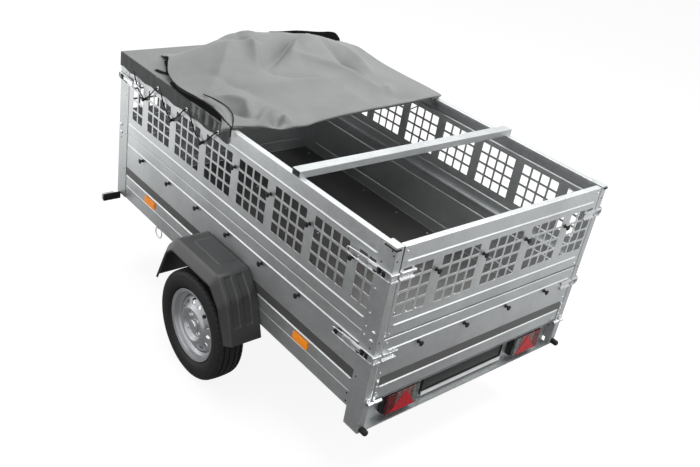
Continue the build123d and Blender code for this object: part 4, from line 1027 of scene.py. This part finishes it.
band = block(-SKIN_X - FILM_T, -SKIN_X - FILM_GAP, REAR + 84.0, FRONT - 92.0, *STRIPE_Z)
piece("side_stripes", both([band]), stripe_film)
band = block(-580.0, 580.0, REAR - FILM_T, REAR - FILM_GAP, *STRIPE_Z)
piece("tailgate_stripe", [band], stripe_film, body="tailgate")


# Rivets and bolts
# Blind rivets hold the boards to the corner posts, with a pair of round-headed bolts where the
# upper and lower board meet. Each head is a spun dome on its sheet, and each empty hole is a thin
# dark disc, painted shade where the hole would be.
# inwards from the corner along the side, height
POST_RIVETS = ((63.0, 1015.0), (64.0, 905.0), (62.0, 1208.0), (69.0, 840.0), (69.0, 802.0))
POST_BOLTS = ((24.0, 837.0), (29.0, 796.0))
POST_HOLES = ((19.0, 1201.0), (8.0, 1186.0), (62.0, 1133.0), (27.0, 764.0), (68.0, 599.0))
BOARD_SCREWS = ((100.0, 491.0), (98.0, 453.0))
REAR_HOLES = (-629.0, (800.0, 1162.0))
GATE_RIVET_X = 586.0
GATE_RIVETS = (("mesh_tailgate", (1197.0, 1009.0, 927.0, 829.0)), ("tailgate", (787.0, 640.0)))
AXES = {"x": 0, "y": 1, "z": 2}

dark_steel_and_hole_shade = solid("blackened_steel_and_painted_hole_shade", "#2a2a2b", 0.45, grain_mm=1.0, bump_mm=0.03, metallic=0.6)


def spun(profile, place, axis, sign=1, steps=24):
    """Surface of revolution on a foot point: (distance along, radius) points, where the sign says
    which way along x, y or z the shape stands."""
    points, faces = turned(profile, (0, 0, 0), axis, steps)
    if sign < 0:
        points = points.copy()
        points[:, AXES[axis]] *= -1
        faces = [face[::-1] for face in faces]
    return points + np.array(place, float), faces


def domes(places, axis, sign, radius, height, steps=14):
    """Round heads: the side of each is upright for a third of the height and then closes like a
    quarter of an ellipse."""
    low = height / 3
    turns = [math.radians(angle) for angle in (0, 25, 50, 72)]
    profile = [(0.0, radius)]
    profile += [(low + (height - low) * math.sin(t), radius * math.cos(t)) for t in turns]
    profile.append((height, 0.01))
    return [spun(profile, place, axis, sign, steps) for place in places]


heads = []
holes = []
for start, sense in ((REAR, 1), (FRONT, -1)):
    rivets, bolts, empty = (
        [(-POST_X, start + sense * inward, z) for inward, z in table]
        for table in (POST_RIVETS, POST_BOLTS, POST_HOLES)
    )
    heads += domes(rivets, "x", -1, 5.0, 2.4) + domes(bolts, "x", -1, 10.0, 5.0, 20)
    holes += domes(empty, "x", -1, 4.2, 0.3)
holes += domes([(REAR_HOLES[0], REAR, z) for z in REAR_HOLES[1]], "y", -1, 4.2, 0.3)
holes += domes([(-SKIN_X, REAR + inward, z) for inward, z in BOARD_SCREWS], "x", -1, 4.5, 2.0)
piece("post_rivets", both(heads), bright_zinc, smooth=50)
# Painted shade: the empty holes are thin dark discs, not cut through.
piece("post_holes", both(holes), dark_steel_and_hole_shade, smooth=50)
for body, heights in GATE_RIVETS:
    heads = domes([(-GATE_RIVET_X, REAR, z) for z in heights], "y", -1, 4.5, 2.2)
    piece(body + "_rivets", both(heads), bright_zinc, body=body, smooth=50)


# Latches
# Bright zinc-plated over-centre latches. A long wire bail runs from round the corner along the
# side to a folded lever, over a base plate with two screws, and hooks behind a catch on the gate.
LATCH_ROWS = (1098.0, 727.0)
BAIL_R = 2.6
BAIL_LONG = 232.0
BAIL_WIDE = 17.0
BAIL_TIP = 12.0
ADJUSTER_R = 2.0
ADJUSTER_WIDE = 9.0
# boxes as x0, x1, y0, y1 from the rear face, z0, z1 from the row's height:
# base plate, its corner return, the end stop, the folded lever, its two ears and its grip
PLATES = (
    (-647.2, -645.1, 2.0, 84.0, -19.0, 19.0),
    (-648.5, -645.1, -6.0, 2.0, -19.0, 19.0),
    (-657.0, -647.2, 14.0, 18.0, -12.0, 12.0),
    (-661.5, -659.5, 62.0, 150.0, 1.0, 13.0),
    (-661.5, -649.0, 62.0, 122.0, 13.0, 15.0),
    (-661.5, -649.0, 62.0, 122.0, -1.0, 1.0),
    (-663.0, -661.0, 112.0, 158.0, -4.0, 19.0),
)
# adjuster nut, spring block and lever pin
PADS = (
    (-656.0, -647.3, 24.0, 38.0, -9.0, 9.0),
    (-657.0, -647.3, 50.0, 60.0, -10.0, 10.0),
    (-658.0, -647.3, 72.0, 84.0, -13.0, 3.0),
)


def wire(path, radius, closed=False, sides=10):
    """Round wire along a path of points: a ring round each point in a frame that is carried along
    the path without twist. Open ends are closed flat."""
    path = np.asarray(path, float)
    if closed:
        ahead = np.roll(path, -1, axis=0) - np.roll(path, 1, axis=0)
    else:
        ahead = np.gradient(path, axis=0)
    ahead /= np.linalg.norm(ahead, axis=1)[:, None]
    normal = np.cross(ahead[0], (0.31, 0.57, 0.76))
    turns = np.linspace(0, 2 * math.pi, sides, endpoint=False)
    rings = []
    for point, direction in zip(path, ahead):
        normal = normal - direction * (normal @ direction)
        normal /= np.linalg.norm(normal)
        across = np.cross(direction, normal)
        rings.append(point + radius * (np.outer(np.cos(turns), normal) + np.outer(np.sin(turns), across)))
    points, faces = grid(np.stack(rings), closed=closed, around=True)
    if not closed:
        last = len(path) * sides
        faces += [list(range(sides))[::-1], list(range(last - sides, last))]
    return points, faces


def round_corners(corners, radius, closed=False, steps=5):
    """Path through 3-D corners, each replaced by a quadratic curve that starts and ends one radius
    from it, or half way along a shorter leg."""
    corners = [np.array(corner, float) for corner in corners]
    count = len(corners)
    path = [] if closed else [corners[0]]
    for n in range(count) if closed else range(1, count - 1):
        corner, before, after = corners[n], corners[n - 1], corners[(n + 1) % count]
        first, second = np.linalg.norm(before - corner), np.linalg.norm(after - corner)
        start = corner + (before - corner) * min(radius / first, 0.5)
        end = corner + (after - corner) * min(radius / second, 0.5)
        for t in np.linspace(0, 1, steps):
            path.append(start * (1 - t) ** 2 + corner * 2 * t * (1 - t) + end * t**2)
    return np.array(path if closed else path + [corners[-1]])


def latch_wires(z):
    """Bail and adjuster of the latch at the left rear corner, in height row z."""
    loop = [(-650.0, -7.0, BAIL_WIDE), (-650.0, -7.0, -BAIL_WIDE), (-655.0, 150.0, -BAIL_WIDE)]
    loop += [(-658.0, BAIL_LONG, -BAIL_TIP), (-658.0, BAIL_LONG, BAIL_TIP), (-655.0, 150.0, BAIL_WIDE)]
    short = [(-654.0, 92.0, -ADJUSTER_WIDE), (-660.0, 168.0, -ADJUSTER_WIDE)]
    short += [(-660.0, 168.0, ADJUSTER_WIDE), (-654.0, 92.0, ADJUSTER_WIDE)]
    paths = ((loop, 9.0, BAIL_R), (short, 8.0, ADJUSTER_R))
    return [
        wire(round_corners(np.array(path) + (0.0, REAR, z), bend, closed=True), radius, closed=True)
        for path, bend, radius in paths
    ]


def latch_plates(z):
    """Plates and lever of the same latch, with its two screws."""
    screws = [(-647.2, REAR + 30.0, z + 12.0), (-647.2, REAR + 30.0, z - 12.0)]
    return blocks(PLATES, z) + domes(screws, "x", -1, 4.2, 2.2)


def latch_pads(z):
    """Dark blocks of the same latch."""
    return blocks(PADS, z)


def with_front(build):
    """What build makes in both rows at the rear corner and, mirrored about the middle of the
    body's length, in the upper row at the front corner, on both sides of the trailer."""
    made = [shape for z in LATCH_ROWS for shape in build(z)]
    for points, faces in build(LATCH_ROWS[0]):
        made.append((points * (1, -1, 1) + (0.0, REAR + FRONT, 0.0), [face[::-1] for face in faces]))
    return both(made)


piece("latch_bails", with_front(latch_wires), bright_zinc, "side_latches", smooth=50)
piece("latch_levers", with_front(latch_plates), bright_zinc, bevel=0.6)
piece("latch_adjusters", with_front(latch_pads), dark_steel_and_hole_shade, bevel=0.8)

# height of each bar from its row, half height and reach from the gate's edge
CATCH_BARS = ((9.0, 5.0, 78.0), (-21.0, 4.5, 74.0))
returns = []
for body, z in (("mesh_tailgate", LATCH_ROWS[0]), ("tailgate", LATCH_ROWS[1])):
    made = []
    for rise, high, long in CATCH_BARS:
        limits = (z + rise - high, z + rise + high)
        made.append(block(-GATE_HALF, -GATE_HALF + long, REAR - 10.0, REAR - 0.5, *limits))
        returns.append(block(-POST_X - 3.0, -608.5, REAR - 9.0, REAR - 0.1, *limits))
    made.append(block(-GATE_HALF, -GATE_HALF + 70.0, REAR - 2.6, REAR - 0.1, z - 24.0, z + 14.0))
    made += domes([(-560.0, REAR - 2.6, z - 6.0)], "y", -1, 4.5, 2.4)
    piece(body + "_catch_plates", both(made), bright_zinc, body + "_catches", body, bevel=1.2)
piece("latch_corner_bars", both(returns), bright_zinc, bevel=1.2)


# Tailgate hinges and gate pins
# Plated steel hinges outside the sill: a barrel and a screwed strap on the gate, a barrel and a
# plate on each post, and a pin through both. Two short pins carry the mesh gate.
HINGE_Z = 505.0
HINGE_Y = REAR - 12.0
GATE_PIN = (-607.0, REAR + 10.0, 828.0)
# turned parts as (along, radius), and boxes as x0, x1, y0, y1 from the rear face, z0, z1 from the pin
GATE_BARREL = ((0.0, 5.2), (0.0, 7.4), (0.8, 8.0), (39.2, 8.0), (40.0, 7.4), (40.0, 5.2))
POST_BARREL = ((0.0, 0.01), (0.0, 7.2), (0.8, 8.0), (25.7, 8.0), (26.5, 7.4), (26.5, 5.0))
HINGE_PIN = ((0.0, 5.0), (46.0, 5.0), (46.0, 0.01))
SHORT_PIN = ((0.0, 0.01), (0.0, 5.0), (12.7, 5.0), (13.5, 4.2), (13.5, 0.01))
STRAP = ((-598.5, -584.5, -4.0, -0.1, 1.0, 103.0), (-598.5, -584.5, -12.0, -3.0, -5.0, 5.0))
PLATE = ((-631.0, -608.5, -4.0, -0.1, -20.0, 20.0), (-631.0, -608.5, -12.0, -3.0, -5.0, 5.0))
STRAP_SCREWS = [(-591.5, REAR - 4.0, z) for z in (545.0, 575.0, 600.0)]
PLATE_SCREWS = [(-620.0, REAR - 4.0, HINGE_Z + rise) for rise in (-14.0, 14.0)]

made = [spun(GATE_BARREL, (-598.5, HINGE_Y, HINGE_Z), "x"), *blocks(STRAP, HINGE_Z)]
made = both(made + domes(STRAP_SCREWS, "y", -1, 5.5, 3.0))
piece("hinge_straps", made, bright_zinc, "tailgate_hinges", "tailgate", bevel=0.8)
made = [spun(POST_BARREL, (-631.0, HINGE_Y, HINGE_Z), "x"), spun(HINGE_PIN, (-605.5, HINGE_Y, HINGE_Z), "x")]
made += [*blocks(PLATE, HINGE_Z), spun(SHORT_PIN, GATE_PIN, "x")]
made = both(made + domes(PLATE_SCREWS, "y", -1, 5.0, 2.8))
piece("hinge_plates", made, bright_zinc, "gate_pivots", bevel=0.8)


# Lamps, plate holder and buffers
# The lamp panel is a folded channel under the sill. Each lamp has a black housing and a lens in
# three parts, with a raised red triangle of small prisms on the middle one.
LAMP_X = 407.0
LAMP_Z = 432.0
LENS_Y = REAR + 2.0
LENS_T = 14.0
LENS_HALF = (91.0, 51.0)
HOUSING_RIM = 4.0
LENS_GAP = 0.3
PANEL_IN = 44.8
TRIANGLE = ((-70.0, -46.0), (70.0, -46.0), (8.0, 47.0))
# boxes from the rear face: back plate, lower ledge and two sides, and the white strip
HOLDER = (
    (-260.0, 260.0, 35.0, PANEL_IN, 366.0, 478.0),
    (-260.0, 260.0, 31.0, 35.2, 387.2, 392.0),
    (-260.0, -254.0, 31.0, 35.2, 387.2, 478.0),
    (254.0, 260.0, 31.0, 35.2, 387.2, 478.0),
)
STRIP = ((-259.0, 259.0, 29.0, 35.2, 366.0, 387.0),)
BUFFER = [(0.0, 9.0), (2.0, 12.5), (5.0, 14.0), (26.0, 14.0)]
BUFFER += [(31.0, 12.6), (34.0, 9.5), (35.0, 5.0), (35.0, 0.01)]

housing_black = solid("black_lamp_housing", "#141415", 0.35, grain_mm=1.0, bump_mm=0.05)
holder_black = solid("black_plate_holder", "#121213", 0.3, grain_mm=6.0, bump_mm=0.3)
strip_white = solid("white_moulded_strip", "#eceeee", 0.4, grain_mm=1.0, bump_mm=0.05)
rubber = solid("moulded_black_rubber", "#1a1a1b", 0.6, grain_mm=1.0, bump_mm=0.1, specular=0.3)


def prismatic(name, colour, deep, cell_mm, roughness=0.25, glow=0.0):
    """Moulded lens plastic over prisms. A Voronoi pattern on object coordinates with cells as wide
    as cell_mm gives each prism its own shade between two colours and its own tilt. The glow is
    painted light: an emission of the prisms' colour that stands in for the light they throw back
    towards the lamps."""
    made = bpy.data.materials.new(name)
    tree = blank(made)
    place = {"Vector": add(tree, "ShaderNodeTexCoord").outputs["Object"]}
    cells = add(tree, "ShaderNodeTexVoronoi", {"Scale": 1000.0 / cell_mm, "Randomness": 0.6}, place).outputs
    shade = ramp(tree, cells["Color"], (0.15, linear(deep)), (0.75, linear(colour)))
    settings = {"Roughness": roughness, "Specular IOR Level": 0.3, "Emission Strength": glow}
    settings.update({"Coat Weight": 0.25, "Coat Roughness": 0.05})
    tilt = raised(tree, cells["Distance"], 0.5, 0.0008)
    links = {"Base Color": shade, "Emission Color": shade, "Normal": tilt}
    surface(tree, settings, links)
    return made


lens_dark = prismatic("dark_red_lens", "#7c0f1b", "#120607", 7.0)
lens_clear = prismatic("clear_lens", "#8f5f5a", "#4d4342", 9.0)
lens_grey = prismatic("grey_lens", "#757877", "#4c4e4e", 9.0)
triangle_red = prismatic("red_reflector", "#d3061f", "#9c0016", 4.0, roughness=0.4)
# Painted light: the amber reflectors glow with an emission of their own colour.
amber = prismatic("amber_reflector", "#ff9a08", "#f07c00", 4.0, roughness=0.4, glow=0.27)
white_lens = prismatic("white_marker_lens", "#eceae4", "#c9c7c1", 4.0)

paint(sheet_zinc, "lamp_panel")
wide, high = LENS_HALF
left = -LAMP_X
x_limits = (left - wide - HOUSING_RIM, left + wide + HOUSING_RIM)
z_limits = (LAMP_Z - high - HOUSING_RIM, LAMP_Z + high + HOUSING_RIM)
housing = block(*x_limits, LENS_Y + LENS_T, REAR + PANEL_IN, *z_limits)
piece("lamp_bodies", both([housing]), housing_black, "lamp_housings", bevel=3.0)
# from the outer end of the lens inwards: share of the width where each part starts and ends
PARTS = (
    ("outer", 0.0, 0.26, lens_dark, "lamp_lenses"),
    ("middle", 0.26, 0.80, lens_clear, None),
    ("inner", 0.80, 1.0, lens_grey, None),
)
for name, start, end, material, node in PARTS:
    x0, x1 = (left - wide + 2 * wide * share for share in (start, end))
    lens = block(x0 + LENS_GAP, x1 - LENS_GAP, LENS_Y, LENS_Y + LENS_T, LAMP_Z - high, LAMP_Z + high)
    piece("lens_" + name, both([lens]), material, node, bevel=2.0)
front = [(left + 3 + u, LENS_Y - 3.0, LAMP_Z + v) for u, v in TRIANGLE]
back = [(left + 3 + u * 1.06, LENS_Y + 0.5, LAMP_Z + v * 1.04) for u, v in TRIANGLE]
triangle = np.array(front + back), [[0, 1, 2], [5, 4, 3], [0, 3, 4, 1], [1, 4, 5, 2], [2, 5, 3, 0]]
piece("lamp_triangles", both([triangle]), triangle_red, bevel=1.0)
piece("plate_holder_frame", blocks(HOLDER), holder_black, "plate_holder", bevel=1.0)
piece("plate_holder_strip", blocks(STRIP), strip_white, bevel=1.0)
buffers = both([spun(BUFFER, (-625.0, REAR, 370.0), "y", -1)])
piece("buffer_domes", buffers, rubber, "rubber_buffers", smooth=50)


# Side reflectors, marker lamps, lashing rings and corner caps
# Amber reflectors are screwed to the side boards, and a rubber arm with a white lens stands out
# beside each front post. A wire ring hangs from a lug under each side board.
REFLECTORS_Y = (REAR + 418.0, FRONT - 360.0)
REFLECTOR = (-SKIN_X - 8.0, -SKIN_X - 0.1, -50.0, 50.0, 517.0, 557.0)
ARM = (-POST_X - 99.0, -POST_X, -42.0, -30.0, 404.0, 444.0)
MARKER_LENS = (-743.0, -675.0, -30.2, -12.0, 406.0, 442.0)
RING_PLACE = (-631.0, FRONT - 441.0, 399.0)
RING_R = 30.0
RING_LUG = (-637.0, -625.0, -8.0, 8.0, 423.0, 432.8)
CAP_PLATES = ((-646.0, -607.0, -0.5, 62.0, 1220.1, 1223.0), (-647.0, -645.1, -0.5, 62.0, 1213.0, 1223.0))
# Black strips along the lower edge of each cap, at the side and at the rear.
CAP_DARK_STRIPS = ((-648.5, -645.1, -1.0, 62.0, 1207.5, 1212.8), (-648.5, -622.0, -3.4, -0.6, 1207.5, 1215.0))


def hoop(place, radius, wire_r, steps):
    """Closed loop of round wire about a point, standing in a plane along the trailer."""
    turns = np.linspace(0, 2 * math.pi, steps, endpoint=False)
    ring = np.stack([0 * turns, radius * np.cos(turns), radius * np.sin(turns)], axis=-1)
    return wire(ring + np.array(place), wire_r, closed=True)


made = both([shape for y in REFLECTORS_Y for shape in blocks([REFLECTOR], start=y)])
piece("amber_reflectors", made, amber, "side_reflectors", bevel=3.5)
made = both(blocks([ARM], start=FRONT))
piece("marker_arms", made, rubber, "marker_brackets", bevel=4.0)
made = both(blocks([MARKER_LENS], start=FRONT))
piece("marker_lens_caps", made, white_lens, "marker_lenses", bevel=4.0)
made = both([hoop(RING_PLACE, RING_R, 2.6, 48), *blocks([RING_LUG], start=RING_PLACE[1])])
piece("lashing_ring_wires", made, bright_zinc, "lashing_rings", smooth=50)
piece("corner_cap_plates", both(blocks(CAP_PLATES)), post_zinc, "corner_caps", bevel=0.8)
piece("corner_cap_dark_strips", both(blocks(CAP_DARK_STRIPS)), rubber, bevel=0.8)


# Knobs
# Black rubber knobs for the cover's lacing: a foot, a narrow neck and a round flared head.
KNOB = [(0.0, 9.0), (1.5, 9.0), (3.5, 6.5), (6.0, 5.4), (11.0, 5.4), (14.0, 8.5), (16.0, 11.5)]
KNOB += [(18.5, 12.2), (20.5, 11.0), (21.6, 7.0), (21.8, 0.01)]
KNOB_STEPS = 20
KNOB_HIGH = 1070.0
KNOB_LOW = 731.0
SIDE_KNOBS = [SIDE_FIRST + PILLAR_PITCH * n for n in range(7)]
END_KNOBS = [PILLAR_PITCH * (n - 1.5) for n in range(4)]

made = []
for z in (KNOB_HIGH, KNOB_LOW):
    made += both([spun(KNOB, (-SKIN_X, y, z), "x", -1, KNOB_STEPS) for y in SIDE_KNOBS])
    made += [spun(KNOB, (x, FRONT - POST_T, z), "y", 1, KNOB_STEPS) for x in END_KNOBS]
piece("lacing_knobs", made, rubber, "body_knobs", smooth=60)
for body, z in (("tailgate", KNOB_LOW), ("mesh_tailgate", KNOB_HIGH)):
    made = [spun(KNOB, (x, REAR, z), "y", -1, KNOB_STEPS) for x in END_KNOBS]
    piece(body + "_lacing_knobs", made, rubber, body + "_knobs", body, smooth=60)


# Floor screws
# Rows of countersunk screws through the plywood into the frame, each a small bright disc.
SCREWS_Y = (-1370.0, -1100.0, -860.0, -600.0, -347.5, -60.0, 220.0, 480.0)
SCREWS_X = (-600.0, -300.0, -30.0, 30.0, 300.0, 600.0)
FLOOR_Z = 500.0

made = domes([(x, y, FLOOR_Z) for y in SCREWS_Y for x in SCREWS_X], "z", 1, 6.0, 0.8, 12)
piece("floor_screws", made, bright_zinc, smooth=50)


# Lacing
# Black elastic cord. From an eyelet in the skirt it runs down in front of a knob, round the neck,
# and up again behind the lower edge of the skirt to the next eyelet.
CORD_R = 3.0
EYELET_Z = TOP_Z - 46.0
EYELET_BACK = 128.0
EDGE_AHEAD = 112.0
# x, y from the knob and z of each corner of the path
LACE = (
    (-653.0, -EYELET_BACK, EYELET_Z),
    (-657.0, 14.0 - EYELET_BACK, EYELET_Z - 6.0),
    (-656.0, -60.0, KNOB_HIGH + 42.0),
    (-653.0, -9.0, KNOB_HIGH + 2.0),
    (-653.0, 0.0, KNOB_HIGH - 9.5),
    (-653.0, 9.0, KNOB_HIGH + 2.0),
    (-654.0, 56.0, KNOB_HIGH + 22.0),
    (-651.5, EDGE_AHEAD - 8.0, TOP_Z - 76.0),
    (-646.5, EDGE_AHEAD + 10.0, EYELET_Z),
)
HEM_CORDS = (
    (
        (-641.0, 60.0, 1249.0),
        (-652.0, -20.0, 1243.0),
        (-650.0, -100.0, 1250.0),
        (-645.0, -200.0, 1260.0),
        (-645.0, -300.0, 1259.0),
        (-653.0, -385.0, 1250.0),
        (-656.0, -428.0, 1240.0),
    ),
    (
        (-612.0, -150.0, 1268.0),
        (-592.0, -230.0, 1269.0),
        (-586.0, -310.0, 1265.0),
        (-604.0, -380.0, 1257.0),
        (-640.0, -436.0, 1242.0),
        (-657.0, -452.0, 1226.0),
        (-656.5, -448.0, 1196.0),
    ),
    ((649.5, 187.0, 1246.0), (652.0, 120.0, 1230.0), (651.5, 59.0, 1225.0)),
)

elastic = solid("black_elastic_cord", "#131313", 0.75, grain_mm=0.8, bump_mm=0.25, specular=0.2)
laced = SIDE_KNOBS[4:]
made = both([wire(round_corners(np.array(LACE) + (0, y, 0), 24.0, steps=6), CORD_R) for y in laced])
made += [wire(traced(cord, 12 * len(cord)), CORD_R) for cord in HEM_CORDS]
piece("lacing_cords", made, elastic, "lacing", smooth=60)
made = both([hoop((-653.2, y - EYELET_BACK, EYELET_Z), 7.0, 2.2, 24) for y in laced])
piece("skirt_eyelets", made, bright_zinc, smooth=60)


# Coupling and jockey wheel
# Cast ball head on the drawbar with its hand lever, and a clamped jockey wheel: galvanised tubes,
# a crank with a black grip and a solid rubber wheel.
grey_rubber = solid("grey_solid_rubber", "#6f7173", 0.6, grain_mm=1.2, bump_mm=0.1)
paint(bright_zinc, "jockey_stem", "jockey_crank", "jockey_fork")
paint(frame_zinc, "coupling_head", "jockey_tube")
paint(black_plastic, "coupling_handle")
paint(grey_rubber, "jockey_roller")
